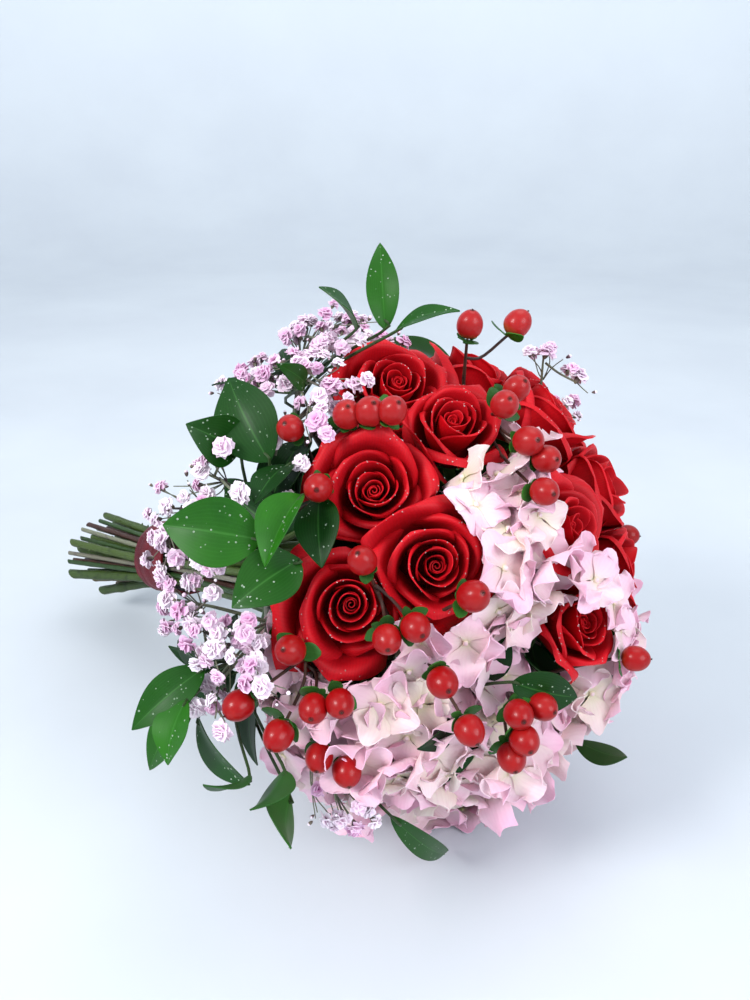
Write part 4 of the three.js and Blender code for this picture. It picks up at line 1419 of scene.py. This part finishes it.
def berry_shape(turn, lift):
    lobes = 1 + 0.018 * np.cos(3 * turn) * (0.4 + 0.6 * np.abs(lift))
    return lobes * (1 + 0.10 * smooth(0.2, -0.8, lift)) * (1 - 0.06 * smooth(0.3, 1.0, lift))


def berry(made, spot, foot, top_light_and_tone):
    axis = berry_axis(spot, foot)
    size = rng.uniform(0.88, 0.98)
    half_length = BERRY_HALF_LENGTH * size * rng.uniform(0.9, 0.98)
    made.bead(spot, axis, BERRY_RADIUS * size, half_length, top_light_and_tone, 24, 15, BERRY, berry_shape)
    BERRIES.append(spot)
    basis = turn_to(axis, rng.uniform(0, 6))
    berry_styles(made, spot + axis * half_length, axis, basis)
    berry_sepals(made, spot - axis * half_length, basis)


def berry_styles(made, tip, axis, basis):
    """The three short dry styles at a berry's tip."""
    for k in range(3):
        lean = basis @ around(2.1 * k, 1.3)
        path = [tip - axis * 0.6, tip + lean * 0.12, tip + lean * 0.4]
        made.tube(path, [0.42, 0.3, 0.12], 5, 0.5, BERRY_TWIG)


def berry_sepals(made, base, basis):
    """Five leafy sepals, longer by turns."""
    v, u = rows_and_columns(7, 5)
    for k in range(5):
        turn = 2 * math.pi * k / 5 + rng.uniform(-0.2, 0.2)
        length = rng.uniform(7.0, 11.5) if k % 2 else rng.uniform(4.5, 6.5)
        half = length * 0.36 * np.sin(math.pi * (0.06 + 0.9 * v) ** 0.8) ** 0.7
        flare = rng.uniform(0.1, 1.0)
        out = 1.2 + length * v * (0.62 + 0.3 * flare)
        rise = length * ((0.55 - 0.75 * flare) * v + 0.1 * v**2)
        points = turned(out, half * u, rise - 0.6 - 0.09 * np.abs(u) * half, turn)
        made.sheet(points @ basis.T + base, 0.4, stacked(u, v, rng.uniform(0.3, 0.9)), LEAF)


def twig(made, foot, top, thin, thick, look, sag, dip=0.0):
    """A slightly bowed twig, which may dip between the flowers on its way."""
    span = top - foot
    middle = (foot + top) / 2 + rng.normal(size=3) * sag * np.linalg.norm(span) - outward_of(top) * dip
    path = curve([foot, middle, top], np.linspace(0, 1, 8))
    made.tube(path, np.linspace(thick, thin, 8), 7, rng.random(), look)


def hypericum_spray(number, clusters, path):
    made = Surfaces(BERRY, BERRY_TWIG, LEAF, PITH)
    tree = corners_of(f"hypericum_spray_{number}")
    stem(made, path, "hypericum", BERRY_TWIG)
    for cluster, start in zip(clusters, branch_points(path, len(clusters))):
        first = lifted_berry(tree, cluster[0], start)
        neck = first - berry_axis(first, start) * (BERRY_HALF_LENGTH + BERRY_NECK)
        feet = partings(start, neck, len(cluster))
        for i, (spot, foot) in enumerate(zip(cluster, feet)):
            at = first if i == 0 else BENT_IN.get((number, i), lifted_berry(tree, spot, foot))
            # Higher berries are lighter coral: painted light; the random share is the berries' own tone
            top_light_and_tone = smooth(180, 250, at[2]) * 0.8 + rng.uniform(0, 0.2)
            berry(made, at, foot, top_light_and_tone)
            top = at - berry_axis(at, foot) * BERRY_HALF_LENGTH
            twig(made, foot, top, 0.7, 1.1 if i == 0 else 0.8, BERRY_TWIG, sag=0.01, dip=TWIG_DIP)
    piece(f"hypericum_{number}", made, "hypericum", f"hypericum_spray_{number}")


# Ruscus


LEAF_NARROWING = 0.86  # against the solid blades
LEAF_ARCH = 0.36
LEAF_THICKNESS, LEAF_EDGE = 0.75, 0.4
BOW = 0.18  # how far a stalk bows back from the crown, against its length
DEEP_LEAVES = 5


def leaf(made, node, base, tip, width, green, outward=None, folded=0.1, stalk=SLIM_STEM, rows=21):
    """A pointed blade from base to tip, arched, with its sides raised, and its stalk from the node."""
    length = np.linalg.norm(tip - base)
    forward = (tip - base) / length
    outward = outward_of((base + tip) / 2) if outward is None else outward
    side = unit(np.cross(forward, outward))
    face = np.cross(side, forward)
    s, u = rows_and_columns(rows, rows // 2 | 1)
    breadth = np.sin(math.pi * np.clip(s, 0, 1) ** 0.82) ** 0.82 * (1 - 0.2 * s**4) + 0.02
    arch = length * LEAF_ARCH * s * (1 - s)
    wave = rng.uniform(0, WHOLE_TURN)
    fold = width * folded * np.abs(u) ** 1.3 + 0.03 * width * u * np.sin(5 * s + wave)
    points = (
        base
        + forward * (length * s)[..., None]
        + side * (width / 2 * LEAF_NARROWING * breadth * u)[..., None]
        + face * (arch + fold * breadth)[..., None]
    )
    points = clear_of_roses(points)
    tags = stacked(u, s, green)
    made.sheet(points, between(np.abs(tags[..., 0]) ** 4, LEAF_THICKNESS, LEAF_EDGE), tags, LEAF)
    middle = (node + base) / 2 - ALONG * BOW * np.linalg.norm(base - node)
    path = curve([node, middle, base, points[2, points.shape[1] // 2]], np.linspace(0, 1, 9))
    made.tube(path, np.linspace(0.9, 0.6, 9), 6, 0.5, stalk)
    return points


def ruscus_branch(number, node, leaves, path):
    """A branch with its leaves, and shorter ones round its node that close the gaps behind the flowers."""
    made = Surfaces(LEAF, SLIM_STEM, PITH)
    stem(made, path, "ruscus", SLIM_STEM)
    spots = []
    for start, each in zip(branch_points(path, len(leaves)), leaves):
        spots.append(leaf(made, start, *each))
    for k in range(DEEP_LEAVES):
        aside = turn_to(outward_of(node)) @ around(1.26 * k, 0.35)
        heading = unit(aside + rng.uniform(-0.3, 0.3, 3))
        base = node + heading * rng.uniform(6, 16)
        tip = base + heading * rng.uniform(26, 34)
        if before_rose(tip):
            continue
        # These leaves get the darkest greens: painted shade deep among the flowers
        leaf(made, node, base, tip, rng.uniform(15, 19), rng.uniform(0, 0.2), rows=13)
    piece(f"ruscus_{number}", made, "ruscus_leaf", f"ruscus_spray_{number}")
    return spots


# Baby's breath

BREATH_RADIUS = 5.0
BREATH_PETALS, SMALL_PETALS = 32, 20
# The green cups under a flower and a bud, as rows of radius and height
FLOWER_CUP = [(0.5, -4.6), (1.2, -3.6), (1.6, -2.0), (1.5, -0.6)]
BUD_CUP = [(0.35, -2.6), (1.0, -1.6), (1.3, -0.4), (1.15, 0.3)]


def breath_flower(made, at, axis, size, own, petals):
    """A small double flower: a ball of rounded, crumpled petals over a narrow cup."""
    basis = turn_to(axis, rng.uniform(0, WHOLE_TURN))
    v, u = rows_and_columns(3, 3)
    for k in range(petals):
        turn = GOLDEN * k + rng.uniform(-0.2, 0.2)
        lean = math.asin(between((k + 0.5) / petals, 1.0, -0.4)) + rng.uniform(-0.15, 0.15)
        twist = rng.uniform(-0.8, 0.8)
        length = BREATH_RADIUS * 1.04 * size * rng.uniform(0.82, 1.08) * (1 - 0.12 * math.sin(lean))
        across = length * 0.42 * (0.2 + 0.8 * np.sin(1.8 * v)) * u
        far = length * v * (1 - 0.24 * np.abs(u) * v)
        bow = 0.16 * length * np.sin(3 * v) + across * math.sin(twist)
        out = far * math.cos(lean) - bow * math.sin(lean)
        height = far * math.sin(lean) + bow * math.cos(lean) - 1.2 * size
        points = turned(out, across * math.cos(twist), height, turn)
        made.sheet(points @ basis.T + at, 0.3, stacked(u, v, own))
    breath_cup(made, FLOWER_CUP, basis, at, size, own)


def breath_cup(made, cup, basis, at, size, own):
    rings = ring_rows(np.array(cup) * size, 7) @ basis.T + at
    made.rings(rings, np.array([0.0, 0.5, own]), BREATH_CALYX)


def breath_bud(made, at, axis, size):
    made.bead(at, axis, 1.25 * size, 1.6 * size, rng.uniform(0, 0.5), 7, 4)
    breath_cup(made, BUD_CUP, turn_to(axis), at, size, 0.5)


GOLDEN_RATIO = 1.618034
# Four corners of an icosahedron. The rest are these with their coordinates shifted round.
ICOSAHEDRON = unit(np.array([(0, a, b * GOLDEN_RATIO) for a in (-1, 1) for b in (-1, 1)], float))
FLOWER_MATCH = 0.6  # how far a solid flower's corners may be from where they are looked for


def lifted_flower(tree, spot):
    """The flower's middle, or None if the solid has none there."""
    best, nearest = None, FLOWER_MATCH
    basis = turn_to(outward_of(spot))
    corners = [basis @ np.roll(corner, shift) for corner in ICOSAHEDRON for shift in range(3)]
    for attempt in range(FLOWER_LIFTS):
        at = spot + outward_of(spot) * LIFT_STEP * attempt
        gap = sorted(distance_to(tree, at + corner * BREATH_RADIUS) for corner in corners)[4]
        if gap < nearest:
            best, nearest = at, gap
    return best


def breath_spray(number, clusters, path):
    made = Surfaces(BREATH, BREATH_CALYX, BREATH_TWIG, PITH)
    tree = corners_of(f"babys_breath_spray_{number}")
    stem(made, path, "breath", BREATH_TWIG)
    for cluster, start in zip(clusters, branch_points(path, len(clusters))):
        spots = [at for at in (lifted_flower(tree, spot) for spot in cluster) if at is not None]
        if not spots:
            continue
        for i, (at, foot) in enumerate(zip(spots, partings(start, spots[0], len(spots)))):
            outward = outward_of(at)
            thick = 1.1 if i == 0 else 0.65
            twig(made, foot, at - outward * CUP_DEPTH, 0.5, thick, BREATH_TWIG, sag=0.02)
            axis = unit(outward + rng.normal(size=3) * 0.25)
            breath_flower(made, at, axis, rng.uniform(0.95, 1.1), rng.random(), BREATH_PETALS)
            small_flowers(made, at, foot, outward, SMALL_FLOWERS[number - 1])
    for spot in GAP_FLOWERS.get(number, []):
        outward = outward_of(spot)
        twig(made, path[0], spot - outward * CUP_DEPTH, 0.5, 0.8, BREATH_TWIG, sag=0.02)
        breath_flower(made, spot, outward, rng.uniform(0.9, 1.0), rng.random(), BREATH_PETALS)
        small_flowers(made, spot, path[0], outward, SMALL_IN_GAPS)
    piece(f"babys_breath_{number}", made, "babys_breath", f"babys_breath_spray_{number}")


CUP_DEPTH = 4.0  # how far below a flower's middle its twig ends
SMALL_FLOWERS = [12, 12, 11, 4]  # by spray, round each flower that has a solid
SMALL_IN_GAPS = 9  # round each other one
# Flowers without a solid, by the number of their spray
GAP_FLOWERS = {
    1: all_seen((300, 462, 126), (322, 400, 130), (352, 336, 132), (378, 340, 128)),
    2: all_seen((286, 500, 124), (272, 440, 130)),
    3: all_seen((238, 640, 132), (208, 686, 134)),
}
LEAF_POINTS = []  # points on the ruscus leaves, which the small flowers don't hide


CLEARANCE = 5.0  # how far a small flower keeps from leaves, berries and the table


def over_leaf(spot):
    """Whether a flower would stand in front of a leaf, or in it."""
    leaves = np.concatenate(LEAF_POINTS) - HEAD_CENTRE
    out = np.linalg.norm(spot - HEAD_CENTRE)
    beside = np.linalg.norm(unit(leaves) - unit(spot - HEAD_CENTRE), axis=1) * out
    return bool(np.any((beside < CLEARANCE) & (np.linalg.norm(leaves, axis=1) < out + CLEARANCE)))


def over_berry(spot):
    """Whether a flower would stand in front of a berry, or in it."""
    out = np.linalg.norm(spot - HEAD_CENTRE)
    aside = [np.linalg.norm(outward_of(middle) - outward_of(spot)) * out for middle in BERRIES]
    return min(aside) < BERRY_RADIUS + CLEARANCE


def small_flowers(made, at, foot, outward, count):
    """The smaller flowers, and a bud for every third, that stand on fine twigs round a larger flower."""
    fork = at + (foot - at) * 0.35
    basis = turn_to(outward, rng.uniform(0, WHOLE_TURN))
    for k in range(count):
        turn = GOLDEN * k + rng.uniform(-0.3, 0.3)
        apart = 7.0 + k + rng.uniform(-1, 1)
        spot = at + basis @ around(turn, rng.uniform(-7, 3), apart)
        near_rose = any(np.linalg.norm(spot - rose.centre) < rose.radius + 4 for rose in ROSES)
        if near_rose or spot[2] < CLEARANCE or over_leaf(spot) or over_berry(spot):
            continue
        lean = unit(outward + (spot - at) / 14)
        bud = k % 3 == 2
        top = spot - lean * (1.5 if bud else 3.0)
        twig(made, fork, top, 0.25, 0.35, BREATH_TWIG, sag=0.06)
        if bud:
            breath_bud(made, spot + lean * 2, lean, rng.uniform(0.5, 0.85))
        else:
            breath_flower(made, spot, lean, rng.uniform(0.62, 0.9), rng.random(), SMALL_PETALS)


# The ribbon

BAND_SIDES = 16  # of the solid band
BAND_HEIGHT = TIE_LENGTH - 2
RIBBON_GAP = 0.35
RIBBON_WRAPS = 4
RIBBON_OVERLAP = 1.8
RIBBON_SIDES = 96
# The section of a wrap from edge to edge: the share across its width, and how far out it stands
RIBBON_SECTION = [(0, 1.0), (0, 1.5), (0.25, 1.7), (0.5, 1.8), (0.75, 1.75), (1, 1.5), (1, 1.0)]


def ribbon():
    """The turns of the ribbon, each over the edge of the one before, in the solid band's room."""
    made = Surfaces(SATIN)
    inner = TIE_RADIUS / math.cos(math.pi / BAND_SIDES) + RIBBON_GAP
    middle = in_plane((0, 0), TIE_START + TIE_LENGTH / 2)
    half = BAND_HEIGHT / 2
    pitch = BAND_HEIGHT / RIBBON_WRAPS
    turn = np.linspace(0, 2 * math.pi, RIBBON_SIDES, endpoint=False)
    for wrap in range(RIBBON_WRAPS):
        low, high = -half + wrap * pitch - (RIBBON_OVERLAP if wrap else 0), -half + (wrap + 1) * pitch
        lean = 1.3 * np.sin(turn + wrap * 0.7)
        lift = 0.35 * (wrap % 2) + 0.12 * np.sin(7 * turn + wrap * 2.1) + 0.1 * np.sin(17 * turn + wrap)
        rows = []
        for share, out in RIBBON_SECTION:
            pleat = 0.18 * np.sin(share * 9 + 3 * turn + wrap)
            radius = inner + 0.2 + out * 0.75 + lift + pleat * (out > 1.2)
            height = np.clip(low + (high - low) * share + lean * (0.4 + 0.2 * share), -half, half)
            rows.append(stacked(radius * np.cos(turn), radius * np.sin(turn), height))
        for row in (rows[-1], rows[0]):
            inside = inner + 0.1
            rows.append(stacked(inside * np.cos(turn), inside * np.sin(turn), row[:, 2]))
        ring_quads(made, np.array(rows) @ turn_to(ALONG).T + middle, turn, wrap)
    piece("ribbon_band", made, "ribbon_satin", "ribbon")


def ring_quads(made, body, turn, wrap):
    """A closed ring with its section's points as rows."""
    rows, sides = body.shape[:2]
    k = np.arange(sides)
    after = (k + 1) % sides
    quads = []
    for row in range(rows):
        low, high = row * sides, (row + 1) % rows * sides
        quads.append(np.stack([low + k, low + after, high + after, high + k], axis=1))
    share = np.linspace(0, 1, rows)[:, None]
    made.add(body, stacked(turn / (2 * math.pi), share, wrap * 0.2), 1.0, np.concatenate(quads))


# Water drops


STEEP = 0.25  # where a petal faces its rose's axis by less, no drop holds


def drops(made, grid, count, low, high, towards=None):
    """Small flattened drops on the face of a sheet, or only where it faces a direction."""
    for _ in range(count):
        row, column = rng.integers(1, len(grid) - 2), rng.integers(1, grid.shape[1] - 2)
        near, far = grid[row, column : column + 2], grid[row + 1, column : column + 2]
        across, along = rng.random(2)
        spot = between(along, between(across, *near), between(across, *far))
        normal = unit(np.cross(near[1] - near[0], far[0] - near[0]))
        if towards is not None:
            if abs(normal @ towards) < STEEP:
                continue
            normal = normal * np.sign(normal @ towards)
        size = rng.uniform(low, high)
        made.bead(spot + normal * (size * 0.3 + 0.2), normal, size, size * 0.6, 0.5, 7, 3)


ROSE_DROPS = 60
LEAF_DROPS = 0.03  # for a square millimetre
DEWY_ROSES = (1, 3, 4, 5, 6, 7, 10)


def dew(roses, leaves):
    made = Surfaces(ROSE_DEW)
    for rose in roses:
        for grid in rng.permutation(len(rose.faces)).tolist() * (ROSE_DROPS // len(rose.faces)):
            drops(made, rose.faces[grid], 1, 0.16, 0.38, rose.axis)
    piece("rose_dew", made, None)
    made = Surfaces(LEAF_DEW)
    for grid in leaves:
        length = np.linalg.norm(grid[-1, 0] - grid[0, 0])
        width = np.linalg.norm(grid[len(grid) // 2, -1] - grid[len(grid) // 2, 0])
        drops(made, grid, int(LEAF_DROPS * length * width), 0.2, 0.5)
    piece("leaf_dew", made, None)


# The camera, the lights and the floor, which aren't part of the bouquet


def camera():
    data = bpy.data.cameras.new("camera")
    data.sensor_fit = "AUTO"
    data.sensor_width = SENSOR
    data.lens = SENSOR * FOCAL / PICTURE_HEIGHT
    made = bpy.data.objects.new("camera", data)
    bpy.context.scene.collection.objects.link(made)
    made.location = CAMERA * MM
    made.rotation_euler = (math.pi / 2 - PITCH, 0, HEADING - math.pi / 2)
    bpy.context.scene.camera = made


def light(name, place_at, aim, size, power, tint):
    data = bpy.data.lights.new(name, "AREA")
    data.shape = "DISK"
    data.size = size
    data.energy = power
    data.color = rgb(tint)[:3]
    made = bpy.data.objects.new(name, data)
    bpy.context.scene.collection.objects.link(made)
    made.location = place_at
    made.rotation_euler = (Vector(aim) - Vector(place_at)).to_track_quat("-Z", "Y").to_euler()


# The studio's floor and wall in metres, as rows of radius and height
STUDIO_PROFILE = [(0.0, 0.0), (1.2, 0.0), (2.0, 0.0), (2.5, 0.12), (2.85, 0.45), (3.0, 0.95), (3.0, 2.6)]
STUDIO_ROWS, LEVEL_ROWS = 40, 14
STUDIO_SIDES = 96


def studio_floor():
    """A pale floor that rises all round into a pale wall."""
    profile = curve(STUDIO_PROFILE, np.linspace(0, 1, STUDIO_ROWS))
    profile[:LEVEL_ROWS, 1] = 0
    profile[:, 1] = np.maximum(profile[:, 1], 0)
    rings = ring_rows(profile[1:], STUDIO_SIDES)
    points = np.concatenate([rings.reshape(-1, 3), [[0, 0, 0]]])
    centre = len(points) - 1
    faces = [[centre, k, (k + 1) % STUDIO_SIDES] for k in range(STUDIO_SIDES)]
    faces += wall(len(rings), STUDIO_SIDES)[:, ::-1].tolist()
    mesh = bpy.data.meshes.new("studio_floor")
    mesh.from_pydata(points.tolist(), [], faces)
    mesh.shade_smooth()
    mesh.materials.append(floor_look())
    floor = bpy.data.objects.new("studio_floor", mesh)
    bpy.context.scene.collection.objects.link(floor)


def studio():
    """The floor, the air's pale light and the soft lights."""
    studio_floor()
    world = bpy.data.worlds.new("studio_air")
    world.use_nodes = True
    air = world.node_tree.nodes["Background"]
    air.inputs["Color"].default_value = rgb("e6eef6")
    air.inputs["Strength"].default_value = 1.1
    bpy.context.scene.world = world
    light("key", (-0.3, -1.3, 1.15), (0, 0, 0.12), 0.55, 22, "ffffff")
    light("fill", (1.5, -0.2, 0.9), (0, 0, 0.12), 1.1, 19, "f4f8ff")
    light("top", (0.0, 0.5, 1.8), (0, 0, 0.1), 1.0, 6, "ffffff")
    light("wall", (-0.7, 0.85, 1.9), (-1.9, 2.3, 0.8), 1.2, 9, "f6faff")
    bpy.context.scene.view_settings.view_transform = "Standard"


camera()
studio()
for rose, path in zip(ROSES, stems_of("rose")):
    rose_bloom(rose)
    rose_stem(rose, path)
for head, path in zip(HEADS, stems_of("hydrangea")):
    hydrangea_head(head)
    hydrangea_stem(head, path)
for number, ((_, clusters), path) in enumerate(zip(HYPERICUM, stems_of("hypericum")), 1):
    hypericum_spray(number, clusters, path)
ruscus_leaves = []
for number, ((node, leaves), path) in enumerate(zip(RUSCUS, stems_of("ruscus")), 1):
    ruscus_leaves += ruscus_branch(number, node, leaves, path)
LEAF_POINTS += [grid[::3, ::2].reshape(-1, 3) for grid in ruscus_leaves]
for number, ((_, clusters), path) in enumerate(zip(BREATH_SPRAYS, stems_of("breath")), 1):
    breath_spray(number, clusters, path)
ribbon()
dew([rose for rose in ROSES if rose.number in DEWY_ROSES], ruscus_leaves)
